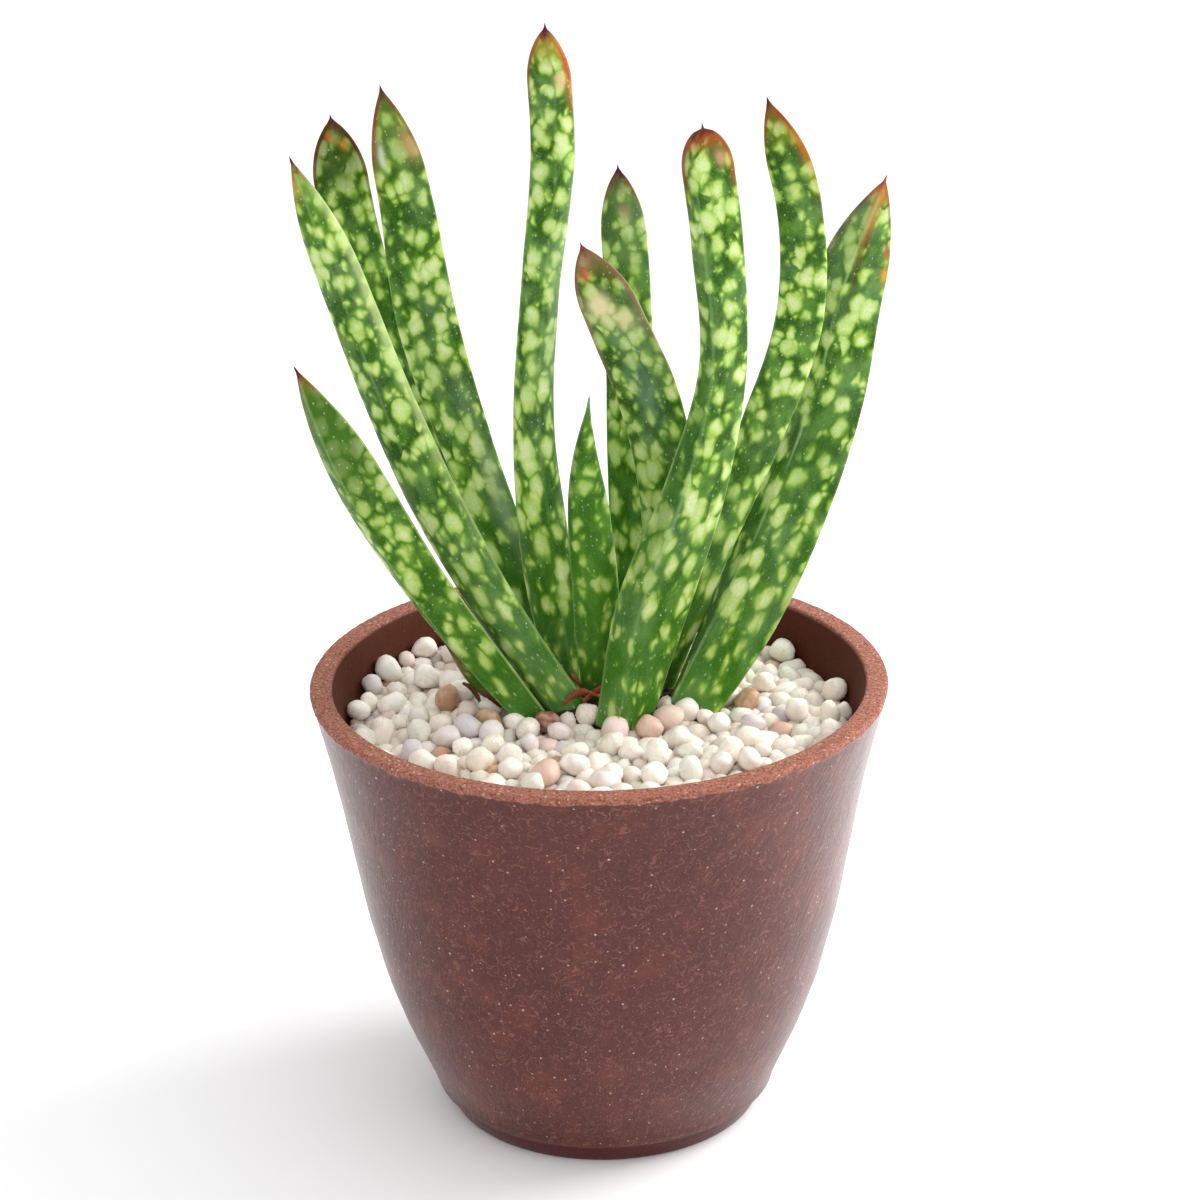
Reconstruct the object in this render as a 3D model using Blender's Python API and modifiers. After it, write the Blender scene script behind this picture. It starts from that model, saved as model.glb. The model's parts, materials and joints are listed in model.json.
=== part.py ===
"""Potted gasteria: a keeled-leaf succulent in a turned fibre-composite pot with pebble mulch.

Blender 4.5. Metres, +Z up. The origin is the centre of the pot's foot, on the surface it stands on.
The plant's fan of leaves lies along X, and its front is towards -Y.
"""
import math
import random

import bmesh
import bpy
from mathutils import Matrix, Vector

MM = 0.001
GAP = 0.3 * MM                   # clearance kept between pieces that touch

# ---- driving dimensions -------------------------------------------------------------------
POT_HEIGHT = 96 * MM
WALL = 4.7 * MM                  # wall and rim thickness
RIM_ROUND = 0.5 * MM
FOOT_RADIUS = 32.7 * MM          # where the foot meets the surface
FOOT_TOP_RADIUS = 34.6 * MM
FOOT_HEIGHT = 4.4 * MM
FOOT_RECESS = 1.5 * MM           # the underside is hollowed inside the foot ring
FOOT_RING = 6 * MM               # width of the flat face that the pot rests on
FLOOR_TOP = 5.6 * MM             # inner floor of the pot
DRAIN_RADIUS = 5 * MM
# outer wall as height and radius in millimetres, from the rim down to the foot ledge
OUTER_WALL = ((96, 60.0), (88, 58.0), (80, 56.1), (71, 54.3), (62, 52.7), (46, 49.8),
              (32, 46.4), (20, 42.3), (10, 37.9), (4.6, 35.7))
POT_STEPS = 60                   # flats round the pot
SOIL_STEPS = 36

SOIL_EDGE_TOP = 80 * MM          # soil height at the wall
SOIL_MOUND = 1.5 * MM            # it rises towards the plant
GRAVEL_TOP = 90.5 * MM           # crests of the pebble mulch
PEBBLE = 5.2 * MM                # spacing of the pebbles
GRAVEL_HOLE = dict(centre=(0.5 * MM, 10.5 * MM), across=30 * MM, deep=21.5 * MM)

CROWNS = dict(
    left=dict(centre=(-10, 12, 77), radii=(13, 14, 6.5), turn=20),
    right=dict(centre=(14, 12, 77), radii=(9, 16, 6.5), turn=-12),
)
ROOTS_PER_CROWN = 5
ROOT_LENGTH = 46 * MM
ROOT_RADIUS = 1.6 * MM

# ---- leaves -------------------------------------------------------------------------------
# spine: six points from base to tip, as x, y, z and the blade's width there, in millimetres.
# The last width is the shoulder that the tip closes from, over tip millimetres; blunt is near
# 0.5 for a round tip and 1 for a long pointed one. thick is the keel side plus the flat side.
# keel is where the ridge lies across the blade, from -1 to 1, at base and tip, and sharp says
# how far the keeled side is a ridge and not a round. turn is the way the keeled side faces at
# base and tip, in degrees: 0 is the front, 180 the back, positive turns it to the right.
LEAVES = dict(
    leaf_front_left_low=dict(
        spine=((-13, 1, 85.5, 6), (-26.5, -4, 106, 9), (-36, -7.5, 122, 10),
               (-44.5, -10.5, 138.5, 11), (-51.5, -13, 154, 10), (-59, -16, 170.5, 9)),
        thick=4.6, keel=(-0.6, -0.4), sharp=0.8, turn=(-18, -12), tip=27, blunt=0.95),
    leaf_front_left_long=dict(
        spine=((-6, 3.5, 86, 9), (-20.5, 0.5, 111, 9.8), (-32.5, -2, 136, 10.8),
               (-42, -4.5, 161.5, 10.2), (-50, -6.5, 186.5, 9.2), (-58.5, -9, 211, 8)),
        thick=4.8, keel=(-0.3, 0), sharp=0.25, turn=(-14, -8), tip=24, blunt=0.9),
    leaf_back_left_outer=dict(
        spine=((-9, 25, 85, 7), (-22, 26, 112, 8), (-33, 27, 136, 8.6),
               (-42.5, 28.5, 160, 9.5), (-49.5, 30, 184.5, 11), (-53, 31, 208.5, 10.8)),
        thick=4.2, keel=(0.1, 0), sharp=0.4, turn=(196, 186), tip=14, blunt=0.78),
    leaf_back_left_inner=dict(
        spine=((-8, 18, 85.5, 7), (-18.5, 18, 117, 9), (-27, 18, 142.5, 10.6),
               (-34, 18.5, 168, 12.2), (-37.5, 19, 193, 10.8), (-42, 19.5, 217.5, 8.6)),
        thick=4.6, keel=(0, 0), sharp=0.45, turn=(192, 180), tip=19, blunt=0.85),
    leaf_centre_tall=dict(
        spine=((-6.5, 13, 85.5, 6.5), (-10.5, 11, 118, 10.2), (-12.5, 8.5, 149, 8.2),
               (-10.5, 6.5, 178.5, 7.6), (-7.5, 5, 206.5, 8.6), (-8.5, 3.5, 233.5, 8.4)),
        thick=5, keel=(0.3, 0.2), sharp=0.3, turn=(10, -6), tip=12, blunt=0.75),
    leaf_centre_short=dict(
        spine=((0.5, 8.5, 85.5, 7), (0, 6, 101.5, 9.2), (-0.5, 4, 116, 9.4),
               (-1.5, 2, 131, 8.6), (-2, 0, 145, 6.8), (-1, -2, 158.5, 5)),
        thick=3.8, keel=(0, 0), sharp=0.2, turn=(0, 0), tip=30, blunt=1.0),
    leaf_back_right_straight=dict(
        spine=((7.5, 25, 85, 7), (7.5, 26, 109, 8.5), (7.5, 27.5, 132, 9.8),
               (7.5, 28.5, 154, 9.8), (7, 30, 176, 9.4), (5.5, 31, 197, 9)),
        thick=4.2, keel=(0, 0), sharp=0.4, turn=(180, 176), tip=15, blunt=0.75),
    leaf_back_right_wide=dict(
        spine=((12, 18, 85.5, 7), (14, 17, 110, 9), (14.8, 15.5, 131, 12),
               (11.4, 14.5, 151, 13.2), (4.5, 14, 169, 12.6), (-2.5, 13, 186, 11)),
        thick=4.6, keel=(0.3, 0.2), sharp=0.5, turn=(170, 160), tip=15, blunt=0.85),
    leaf_front_centre=dict(
        spine=((4.5, -4, 86, 11), (11.2, -4, 113, 14.8), (20, -7.5, 140, 12.4),
               (25.5, -10.5, 166.5, 9.4), (24.5, -13, 192.5, 10), (21.5, -15, 218, 10)),
        thick=6, keel=(-0.35, -0.6), sharp=0.7, turn=(8, 0), tip=9, blunt=0.5),
    leaf_right_long=dict(
        spine=((11, 10.5, 85.5, 6.5), (23.4, 3, 122, 7.6), (33.5, 0, 149, 9.2),
               (41, -1.5, 173, 9.4), (41, -2, 197, 8.8), (34.5, -2, 219.5, 8.6)),
        thick=4.2, keel=(0, 0), sharp=0.35, turn=(186, 176), tip=19, blunt=0.9),
    leaf_far_right=dict(
        spine=((18.5, 2.5, 85.5, 10), (30.4, 6, 107.5, 14.8), (40, 8, 130.5, 16),
               (47.5, 8.5, 154, 15), (52, 8.5, 178, 13.8), (59, 8, 200.5, 11)),
        thick=7, keel=(-0.7, 0), sharp=0.95, turn=(-26, -8), tip=23, blunt=0.85),
    leaf_old_stub=dict(
        spine=((-20.5, 8, 87, 4), (-23.5, 7, 90.5, 4.4), (-25.8, 6, 93.5, 4.2),
               (-28, 5, 97, 3.8), (-30.5, 3.8, 101, 3), (-33, 2.5, 104.5, 2)),
        thick=2.2, keel=(0, 0), sharp=0.3, turn=(-30, -30), tip=12, blunt=1.0),
)
LEAF_RINGS = 12                  # rings along the blade before the tip, which has its own
LEAF_SIDES = 12
TIP_RINGS = (0.85, 0.65, 0.45, 0.27, 0.12, 0.04)
SPIKE_LENGTH = 1.3 * MM          # dry point that ends each blade
SPIKE_RADIUS = 0.3 * MM

# ---- dry litter between the leaf bases, in millimetres ---------------------------------------
DRY_SCRAPS = dict(
    dry_sheath_long=dict(radius=0.7, path=((-2.6, 0.2, 90.4), (-1.2, 1.0, 91.1), (0.4, 1.8, 91.9),
                                           (2.0, 2.6, 92.8))),
    dry_sheath_curl=dict(radius=0.5, path=((-5.2, 9.4, 92.4), (-5.1, 7.6, 92.4), (-4.3, 6.0, 91.8),
                                            (-3.2, 4.9, 90.4))),
    dry_root=dict(radius=0.3, path=((3.2, -9.2, 93.4), (4.2, -9.8, 92.4), (3.9, -10.2, 91.2),
                                    (3.2, -10.2, 90.2))),
)

COLOURS = dict(
    composite=((0.130, 0.045, 0.038), 0.5),
    soil=((0.030, 0.020, 0.014), 0.95),
    pebble=((0.680, 0.630, 0.540), 0.6),
    leaf=((0.075, 0.190, 0.035), 0.4),
    root=((0.420, 0.330, 0.190), 0.8),
    dry=((0.240, 0.070, 0.035), 0.85),
)


# ---- scene and material helpers ----------------------------------------------------------------
def clear_scene():
    for obj in list(bpy.data.objects):
        bpy.data.objects.remove(obj, do_unlink=True)


def make_collection(name):
    collection = bpy.data.collections.new(name)
    bpy.context.scene.collection.children.link(collection)
    return collection


def make_material(name, kind):
    colour, roughness = COLOURS[kind]
    material = bpy.data.materials.new(name)
    material.use_nodes = True
    shader = material.node_tree.nodes["Principled BSDF"]
    shader.inputs["Base Color"].default_value = (*colour, 1)
    shader.inputs["Roughness"].default_value = roughness
    return material


def add_object(name, data, collection, kind):
    obj = bpy.data.objects.new(name, data)
    collection.objects.link(obj)
    obj.data.materials.append(make_material(name, kind))
    return obj


def mesh_from_bmesh(name, bm, smooth_angle=40):
    mesh = bpy.data.meshes.new(name)
    bm.to_mesh(mesh)
    bm.free()
    mesh.shade_smooth()
    mesh.set_sharp_from_angle(angle=math.radians(smooth_angle))
    return mesh


def smooth_path(points, position):
    """A point on a Catmull-Rom curve through evenly numbered points, position from 0 to 1."""
    last = len(points) - 1
    place = min(max(position, 0.0), 1.0) * last
    index = min(int(place), last - 1)
    t = place - index
    before = points[index - 1] if index else 2 * points[0] - points[1]
    after = points[index + 2] if index + 2 <= last else 2 * points[last] - points[last - 1]
    here, there = points[index], points[index + 1]
    return 0.5 * (2 * here + (there - before) * t
                  + (2 * before - 5 * here + 4 * there - after) * t ** 2
                  + (3 * here - before - 3 * there + after) * t ** 3)


# ---- pot ---------------------------------------------------------------------------------------
def wall_radius(height, inset=0.0):
    """Radius of the outer wall at a height, less an inset."""
    for (high, outer_high), (low, outer_low) in zip(OUTER_WALL, OUTER_WALL[1:]):
        if height >= low * MM:
            share = (height / MM - low) / (high - low)
            return (outer_low + (outer_high - outer_low) * share) * MM - inset
    return OUTER_WALL[-1][1] * MM - inset


def turned_object(name, profile, steps, collection, kind, closed):
    """A profile of radius and height pairs, down the outer side, swept round the Z axis."""
    bm = bmesh.new()
    verts = [bm.verts.new((radius, 0, height)) for radius, height in profile]
    for first, second in zip(verts, verts[1:]):
        bm.edges.new((first, second))
    if closed:
        bm.edges.new((verts[-1], verts[0]))
    mesh = bpy.data.meshes.new(name)
    bm.to_mesh(mesh)
    bm.free()
    obj = add_object(name, mesh, collection, kind)
    screw = obj.modifiers.new("turn", "SCREW")
    screw.steps = steps
    screw.render_steps = steps
    screw.use_merge_vertices = True
    screw.merge_threshold = 0.00001
    screw.use_smooth_shade = True
    return obj


def inner_heights():
    """Heights, from the top down, where the inner wall and the soil beside it have their points."""
    return [height * MM for height, radius in OUTER_WALL if 8 < height < 95]


def pot_profile():
    outer = [(radius * MM, height * MM) for height, radius in OUTER_WALL[1:]]
    rim_outer = OUTER_WALL[0][1] * MM
    rim_inner = rim_outer - WALL
    top = [(rim_inner + RIM_ROUND, POT_HEIGHT), (rim_outer - RIM_ROUND, POT_HEIGHT),
           (rim_outer - 0.1 * MM, POT_HEIGHT - RIM_ROUND)]
    ring_inner = FOOT_RADIUS - FOOT_RING
    foot = [(FOOT_TOP_RADIUS, FOOT_HEIGHT - 0.3 * MM), (FOOT_RADIUS + 0.5 * MM, 0.7 * MM),
            (FOOT_RADIUS, 0), (ring_inner, 0), (ring_inner - 1 * MM, FOOT_RECESS),
            (DRAIN_RADIUS, FOOT_RECESS)]
    floor = [(DRAIN_RADIUS, FLOOR_TOP), (29 * MM, FLOOR_TOP)]
    inner = [(wall_radius(height, WALL), height) for height in reversed(inner_heights())]
    inner.append((rim_inner - 0.1 * MM, POT_HEIGHT - 1.2 * MM))
    return top + outer + foot + floor + inner


# ---- soil, crowns and gravel -----------------------------------------------------------------------
def soil_height(radius):
    """Height of the soil's surface: level with the wall line at the rim, mounded in the middle."""
    share = min(radius / (50 * MM), 1.0)
    return SOIL_EDGE_TOP + SOIL_MOUND * (1 + math.cos(math.pi * share)) / 2


def soil_profile():
    top = [(radius * MM, soil_height(radius * MM)) for radius in (0, 10, 20, 30, 40, 46)]
    side = [(wall_radius(height, WALL + 1.5 * GAP), height)
            for height in inner_heights() if height <= SOIL_EDGE_TOP]
    bottom = [(28.5 * MM, FLOOR_TOP + GAP), (0, FLOOR_TOP + GAP)]
    return top + side + bottom


def crown_mesh(name, crown, swell):
    """The short stem that the leaves grow from, with its roots; swell makes the cutter larger."""
    radii = [radius * MM + swell for radius in crown["radii"]]
    centre = Vector(crown["centre"]) * MM
    turn = Matrix.Rotation(math.radians(crown["turn"]), 4, "Z")
    place = Matrix.Translation(centre) @ turn
    bm = bmesh.new()
    bmesh.ops.create_uvsphere(bm, u_segments=16, v_segments=8, radius=1,
                              matrix=place @ Matrix.Diagonal((*radii, 1)))
    mesh = mesh_from_bmesh(name, bm)
    return mesh, centre


def root_object(name, start, angle, swell, collection):
    """One fleshy root: a tapering tube that leaves the crown sideways and turns down."""
    curve = bpy.data.curves.new(name, "CURVE")
    curve.dimensions = "3D"
    curve.bevel_depth = ROOT_RADIUS + swell
    curve.bevel_resolution = 1
    curve.use_fill_caps = True
    steps = 6
    spline = curve.splines.new("POLY")
    spline.points.add(steps)
    for index in range(steps + 1):
        share = index / steps
        out = (5 + 17 * math.sin(share * math.pi / 2)) * MM
        down = (ROOT_LENGTH + swell) * share ** 1.4
        point = start + Vector((out * math.cos(angle), out * math.sin(angle), -2 * MM - down))
        spline.points[index].co = (*point, 1)
        spline.points[index].radius = 1 - 0.5 * share
    obj = bpy.data.objects.new(name, curve)
    collection.objects.link(obj)
    return obj


def curve_to_mesh_object(obj, collection):
    """Replace a curve object by a closed mesh object of the same shape."""
    bpy.context.view_layer.update()
    evaluated = obj.evaluated_get(bpy.context.evaluated_depsgraph_get())
    mesh = bpy.data.meshes.new_from_object(evaluated)
    bm = bmesh.new()
    bm.from_mesh(mesh)
    bmesh.ops.remove_doubles(bm, verts=bm.verts, dist=0.00001)
    bm.to_mesh(mesh)
    bm.free()
    solid = bpy.data.objects.new(obj.name + "_solid", mesh)
    solid.matrix_world = obj.matrix_world
    collection.objects.link(solid)
    bpy.data.objects.remove(obj, do_unlink=True)
    return solid


def hide_cutter(obj):
    obj.hide_render = True
    obj.display_type = "WIRE"


def add_boolean(obj, other, operation):
    modifier = obj.modifiers.new(operation.lower() + "_" + other.name, "BOOLEAN")
    modifier.operation = operation
    modifier.object = other


def build_crown(side, crown, swell, collection, guides):
    """A crown and its roots as one solid, from Boolean unions."""
    label = "crown_" + side if swell == 0 else "crown_channel_" + side
    mesh, centre = crown_mesh(label, crown, swell)
    target = collection if swell == 0 else guides
    obj = add_object(label, mesh, target, "root")
    if swell:
        hide_cutter(obj)
    offset = math.radians(crown["turn"])
    for number in range(ROOTS_PER_CROWN):
        angle = offset + 2 * math.pi * number / ROOTS_PER_CROWN
        root = root_object(f"{label}_root_{number + 1}", centre, angle, swell, guides)
        solid = curve_to_mesh_object(root, guides)
        hide_cutter(solid)
        add_boolean(obj, solid, "UNION")
    return obj


def hole_radius(angle):
    """Edge of the opening in the gravel that the plant stands in, from the pot's axis."""
    centre_x, centre_y = GRAVEL_HOLE["centre"]
    radius = 5 * MM
    while True:
        x = (radius * math.cos(angle) - centre_x) / GRAVEL_HOLE["across"]
        y = (radius * math.sin(angle) - centre_y) / GRAVEL_HOLE["deep"]
        if x * x + y * y >= 1:
            return radius
        radius += 0.1 * MM


def pebble_centres():
    """Pebbles in staggered rows, each nudged a little off its place."""
    dice = random.Random(11)
    centres = []
    rows = int(60 * MM / (PEBBLE * 0.866))
    for row in range(-rows, rows + 1):
        for column in range(-rows, rows + 1):
            x = (column + 0.5 * (row % 2)) * PEBBLE + dice.uniform(-0.7, 0.7) * MM
            y = row * PEBBLE * 0.866 + dice.uniform(-0.7, 0.7) * MM
            centres.append((x, y, dice.uniform(-0.7, 0.0) * MM))
    return centres


def build_gravel(collection):
    """The pebble mulch as one ring-shaped solid with a knobbly top."""
    centres = pebble_centres()
    spokes, rings = 60, 8
    edge = wall_radius(GRAVEL_TOP, WALL + GAP) - 0.6 * MM
    bm = bmesh.new()
    top, bottom = [], []
    for ring in range(rings):
        share = ring / (rings - 1)
        top_row, bottom_row = [], []
        for spoke in range(spokes):
            angle = 2 * math.pi * (spoke + 0.5 * (ring % 2)) / spokes
            inner = hole_radius(angle)
            radius = inner + (edge - inner) * share
            x, y = radius * math.cos(angle), radius * math.sin(angle)
            nearest = min(centres, key=lambda c: (c[0] - x) ** 2 + (c[1] - y) ** 2)
            off = math.hypot(nearest[0] - x, nearest[1] - y)
            height = GRAVEL_TOP + nearest[2] - min(off * off / PEBBLE, 1.6 * MM)
            top_row.append(bm.verts.new((x, y, height)))
            below = max(radius, 1 * MM)
            under = min(below, wall_radius(soil_height(below), WALL + GAP) - 0.4 * MM)
            scale = under / radius
            bottom_row.append(bm.verts.new((x * scale, y * scale, soil_height(under) + GAP)))
        top.append(top_row)
        bottom.append(bottom_row)
    for row, other in zip(top, top[1:]):
        for spoke in range(spokes):
            after = (spoke + 1) % spokes
            bm.faces.new((row[spoke], other[spoke], other[after], row[after]))
    for row, other in zip(bottom, bottom[1:]):
        for spoke in range(spokes):
            after = (spoke + 1) % spokes
            bm.faces.new((row[after], other[after], other[spoke], row[spoke]))
    for spoke in range(spokes):
        after = (spoke + 1) % spokes
        bm.faces.new((top[0][after], bottom[0][after], bottom[0][spoke], top[0][spoke]))
        bm.faces.new((top[-1][spoke], bottom[-1][spoke], bottom[-1][after], top[-1][after]))
    bmesh.ops.triangulate(bm, faces=bm.faces)
    bmesh.ops.recalc_face_normals(bm, faces=bm.faces)
    return add_object("gravel_bed", mesh_from_bmesh("gravel_bed", bm), collection, "pebble")


# ---- leaves ------------------------------------------------------------------------------------
def leaf_section(half_width, thick, keel, sharp):
    """Outline of a blade across its length: a keeled side, then a flatter side back again."""
    keel_height = 0.72 * thick
    flat_height = 0.28 * thick
    outline = []
    for index in range(LEAF_SIDES):
        angle = 2 * math.pi * index / LEAF_SIDES
        across = math.cos(angle)
        rounded = abs(math.sin(angle))
        if angle < math.pi:
            span = 1 - keel if across > keel else 1 + keel
            ridge = 1 - abs(across - keel) / max(span, 0.05)
            rise = keel_height * (sharp * ridge + (1 - sharp) * rounded)
        else:
            rise = -flat_height * rounded
        outline.append((across * half_width, rise))
    return outline


def tip_closing(distance, leaf):
    """Share of the full width left at a distance from the end of the spike."""
    reach = (distance - SPIKE_LENGTH) / (leaf["tip"] * MM)
    if reach <= 0:
        return 0.0
    if reach >= 1:
        return 1.0
    return (1 - (1 - reach) ** 2) ** leaf["blunt"]


def build_leaf(name, leaf, collection):
    """A blade lofted through rings along its spine, closed by its dry point."""
    points = [Vector(row[:3]) * MM for row in leaf["spine"]]
    widths = [row[3] * MM for row in leaf["spine"]]
    length = sum((b - a).length for a, b in zip(points, points[1:]))
    tip_share = min(leaf["tip"] * MM / length, 0.6)
    places = [(1 - tip_share) * index / (LEAF_RINGS - 1) for index in range(LEAF_RINGS)]
    places += [1 - tip_share * share for share in TIP_RINGS]
    places.append(1 - 0.8 * SPIKE_LENGTH / length)
    bm = bmesh.new()
    rings = []
    for place in places:
        centre = smooth_path(points, place)
        ahead = smooth_path(points, place + 0.01) - smooth_path(points, place - 0.01)
        ahead.normalize()
        closing = tip_closing((1 - place) * length, leaf)
        half_width = max(0.5 * smooth_path(widths, place) * closing, SPIKE_RADIUS)
        thick = max(leaf["thick"] * MM * closing ** 0.8 * (1 - 0.25 * place), 1.6 * SPIKE_RADIUS)
        keel = leaf["keel"][0] + (leaf["keel"][1] - leaf["keel"][0]) * place
        turn = leaf["turn"][0] + (leaf["turn"][1] - leaf["turn"][0]) * place
        front = Vector((0, -1, 0)) - ahead * ahead.dot(Vector((0, -1, 0)))
        facing = Matrix.Rotation(math.radians(turn), 3, ahead) @ front.normalized()
        across = ahead.cross(facing)
        section = leaf_section(half_width, thick, keel, leaf["sharp"])
        rings.append([bm.verts.new(centre + across * u + facing * v) for u, v in section])
    for ring, other in zip(rings, rings[1:]):
        for index in range(LEAF_SIDES):
            after = (index + 1) % LEAF_SIDES
            bm.faces.new((ring[index], ring[after], other[after], other[index]))
    bm.faces.new(rings[0])
    point = bm.verts.new(points[-1])
    for index in range(LEAF_SIDES):
        bm.faces.new((rings[-1][index], rings[-1][(index + 1) % LEAF_SIDES], point))
    bmesh.ops.recalc_face_normals(bm, faces=bm.faces)
    return add_object(name, mesh_from_bmesh(name, bm), collection, "leaf")


def build_scrap(name, scrap, collection):
    """A dry strip or root lying between the leaf bases, as a thin capped tube."""
    curve = bpy.data.curves.new(name, "CURVE")
    curve.dimensions = "3D"
    curve.bevel_depth = scrap["radius"] * MM
    curve.bevel_resolution = 1
    curve.use_fill_caps = True
    points = [Vector(point) * MM for point in scrap["path"]]
    steps = 9
    spline = curve.splines.new("POLY")
    spline.points.add(steps - 1)
    for index in range(steps):
        share = index / (steps - 1)
        spline.points[index].co = (*smooth_path(points, share), 1)
        spline.points[index].radius = 0.55 + 0.45 * math.sin(math.pi * (0.15 + 0.7 * share))
    return add_object(name, curve, collection, "dry")


# ---- assembly -----------------------------------------------------------------------------------
def build():
    clear_scene()
    parts = make_collection("potted_gasteria")
    guides = make_collection("cutters")
    turned_object("pot", pot_profile(), POT_STEPS, parts, "composite", closed=True)
    soil = turned_object("soil", soil_profile(), SOIL_STEPS, parts, "soil", closed=False)
    for side, crown in CROWNS.items():
        build_crown(side, crown, 0, parts, guides)
        add_boolean(soil, build_crown(side, crown, GAP, parts, guides), "DIFFERENCE")
    build_gravel(parts)
    for name, leaf in LEAVES.items():
        build_leaf(name, leaf, parts)
    for name, scrap in DRY_SCRAPS.items():
        build_scrap(name, scrap, parts)


build()
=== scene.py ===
import json
import math
import random
import bmesh
import bpy
import numpy as np
from mathutils import Matrix, Vector, noise

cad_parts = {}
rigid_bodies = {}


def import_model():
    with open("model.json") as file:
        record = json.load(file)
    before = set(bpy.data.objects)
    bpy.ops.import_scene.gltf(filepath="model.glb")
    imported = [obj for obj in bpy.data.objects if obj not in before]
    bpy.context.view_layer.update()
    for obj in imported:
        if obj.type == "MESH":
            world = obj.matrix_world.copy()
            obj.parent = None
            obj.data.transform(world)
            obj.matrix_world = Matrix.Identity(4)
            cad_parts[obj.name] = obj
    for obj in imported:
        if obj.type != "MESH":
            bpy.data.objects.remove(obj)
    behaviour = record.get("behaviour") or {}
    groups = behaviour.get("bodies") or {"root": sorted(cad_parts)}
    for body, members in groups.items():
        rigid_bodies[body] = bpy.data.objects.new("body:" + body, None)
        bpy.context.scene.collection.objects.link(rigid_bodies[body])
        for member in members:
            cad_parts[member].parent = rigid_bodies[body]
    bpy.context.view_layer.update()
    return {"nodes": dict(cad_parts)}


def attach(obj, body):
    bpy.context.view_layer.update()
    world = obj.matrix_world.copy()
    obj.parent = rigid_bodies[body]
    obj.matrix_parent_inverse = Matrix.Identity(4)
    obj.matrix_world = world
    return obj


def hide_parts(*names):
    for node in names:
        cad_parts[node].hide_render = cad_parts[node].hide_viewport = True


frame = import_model()
mm = 0.001
print("frame loaded:", len(frame["nodes"]), "solids")


# small helpers used by every piece
def fromHex(code):  # sRGB hex to a linear colour
    parts = [int(code[i:i + 2], 16) / 255 for i in (1, 3, 5)]
    return [c / 12.92 if c <= 0.04045 else ((c + 0.055) / 1.055) ** 2.4 for c in parts] + [1.0]


def addNode(tree, kind, settings={}, inputs={}):  # a node with its settings, values and links
    node = tree.nodes.new(kind)
    for name, value in settings.items():
        setattr(node, name, value)
    for name, value in inputs.items():
        if isinstance(value, bpy.types.NodeSocket):
            tree.links.new(value, node.inputs[name])
        else:
            node.inputs[name].default_value = value
    return node


def newMaterial(name):
    material = bpy.data.materials.new(name)
    material.use_nodes = True
    tree = material.node_tree
    tree.nodes.clear()
    shader = addNode(tree, "ShaderNodeBsdfPrincipled")
    addNode(tree, "ShaderNodeOutputMaterial", {}, {"Surface": shader.outputs[0]})
    return material, tree, shader


def solidPlace(tree):  # the place inside the solid in millimetres
    place = addNode(tree, "ShaderNodeTexCoord").outputs["Object"]
    return addNode(tree, "ShaderNodeVectorMath", {"operation": "SCALE"},
                   {0: place, "Scale": 1 / mm}).outputs[0]


def fillRamp(ramp, stops):  # stops as position, colour and opacity
    elements = ramp.color_ramp.elements
    while len(elements) < len(stops):
        elements.new(0.5)
    for element, (position, code, share) in zip(elements, stops):
        element.position = position
        element.color = fromHex(code)[:3] + [share]


def mottledMaterial(name, look):  # one noise drives both the colour, from dark to light, and the relief
    material, tree, shader = newMaterial(name)
    grain = addNode(tree, "ShaderNodeTexNoise", {}, dict(look["grain"], Vector=solidPlace(tree)))
    level = addNode(tree, "ShaderNodeMapRange", {}, {0: grain.outputs[0], 1: look["low"], 2: look["high"]})
    if "attribute" in look:
        light = addNode(tree, "ShaderNodeAttribute", {"attribute_name": look["attribute"]}).outputs["Color"]
        dark = addNode(tree, "ShaderNodeVectorMath", {"operation": "SCALE"},
                       {0: light, "Scale": look["shade"]}).outputs[0]
    else:
        dark, light = fromHex(look["dark"]), fromHex(look["light"])
    tint = addNode(tree, "ShaderNodeMix", {"data_type": "RGBA"}, {0: level.outputs[0], 6: dark, 7: light})
    tree.links.new(tint.outputs[2], shader.inputs["Base Color"])
    shader.inputs["Roughness"].default_value = look["rough"]
    bump = addNode(tree, "ShaderNodeBump", {}, {"Strength": look["bump"], "Distance": look["relief"] * mm,
                                                "Height": grain.outputs[0]})
    tree.links.new(bump.outputs[0], shader.inputs["Normal"])
    return material


def addPiece(name, mesh, material, replaced=()):
    piece = bpy.data.objects.new(name, mesh)
    bpy.context.scene.collection.objects.link(piece)
    if material is not None:
        mesh.materials.clear()
        mesh.materials.append(material)
    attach(piece, "root")
    if replaced:
        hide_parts(*replaced)
    return piece


def refinish(names, material):  # a new material on solids that stay as they are
    for name in names:
        frame["nodes"][name].data.materials.clear()
        frame["nodes"][name].data.materials.append(material)


def smoothPath(points, places):  # Catmull-Rom through evenly numbered rows, at many places from 0 to 1
    points = np.asarray(points, float)
    last = len(points) - 1
    spot = np.clip(places, 0, 1) * last
    index = np.minimum(spot.astype(int), last - 1)
    t = (spot - index)[:, None]
    padded = np.vstack([2 * points[0] - points[1], points, 2 * points[-1] - points[-2]])
    before, here, there, after = (padded[index + k] for k in range(4))
    return 0.5 * (2 * here + (there - before) * t + (2 * before - 5 * here + 4 * there - after) * t ** 2
                  + (3 * here - before - 3 * there + after) * t ** 3)


def newMesh(name, points, faces):  # smooth mesh from points in millimetres
    mesh = bpy.data.meshes.new(name)
    mesh.from_pydata((np.asarray(points, float) * mm).tolist(), [], faces)
    mesh.shade_smooth()
    return mesh


def faceOutward(mesh):
    bm = bmesh.new()
    bm.from_mesh(mesh)
    bmesh.ops.recalc_face_normals(bm, faces=bm.faces)
    bm.to_mesh(mesh)
    bm.free()


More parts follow.
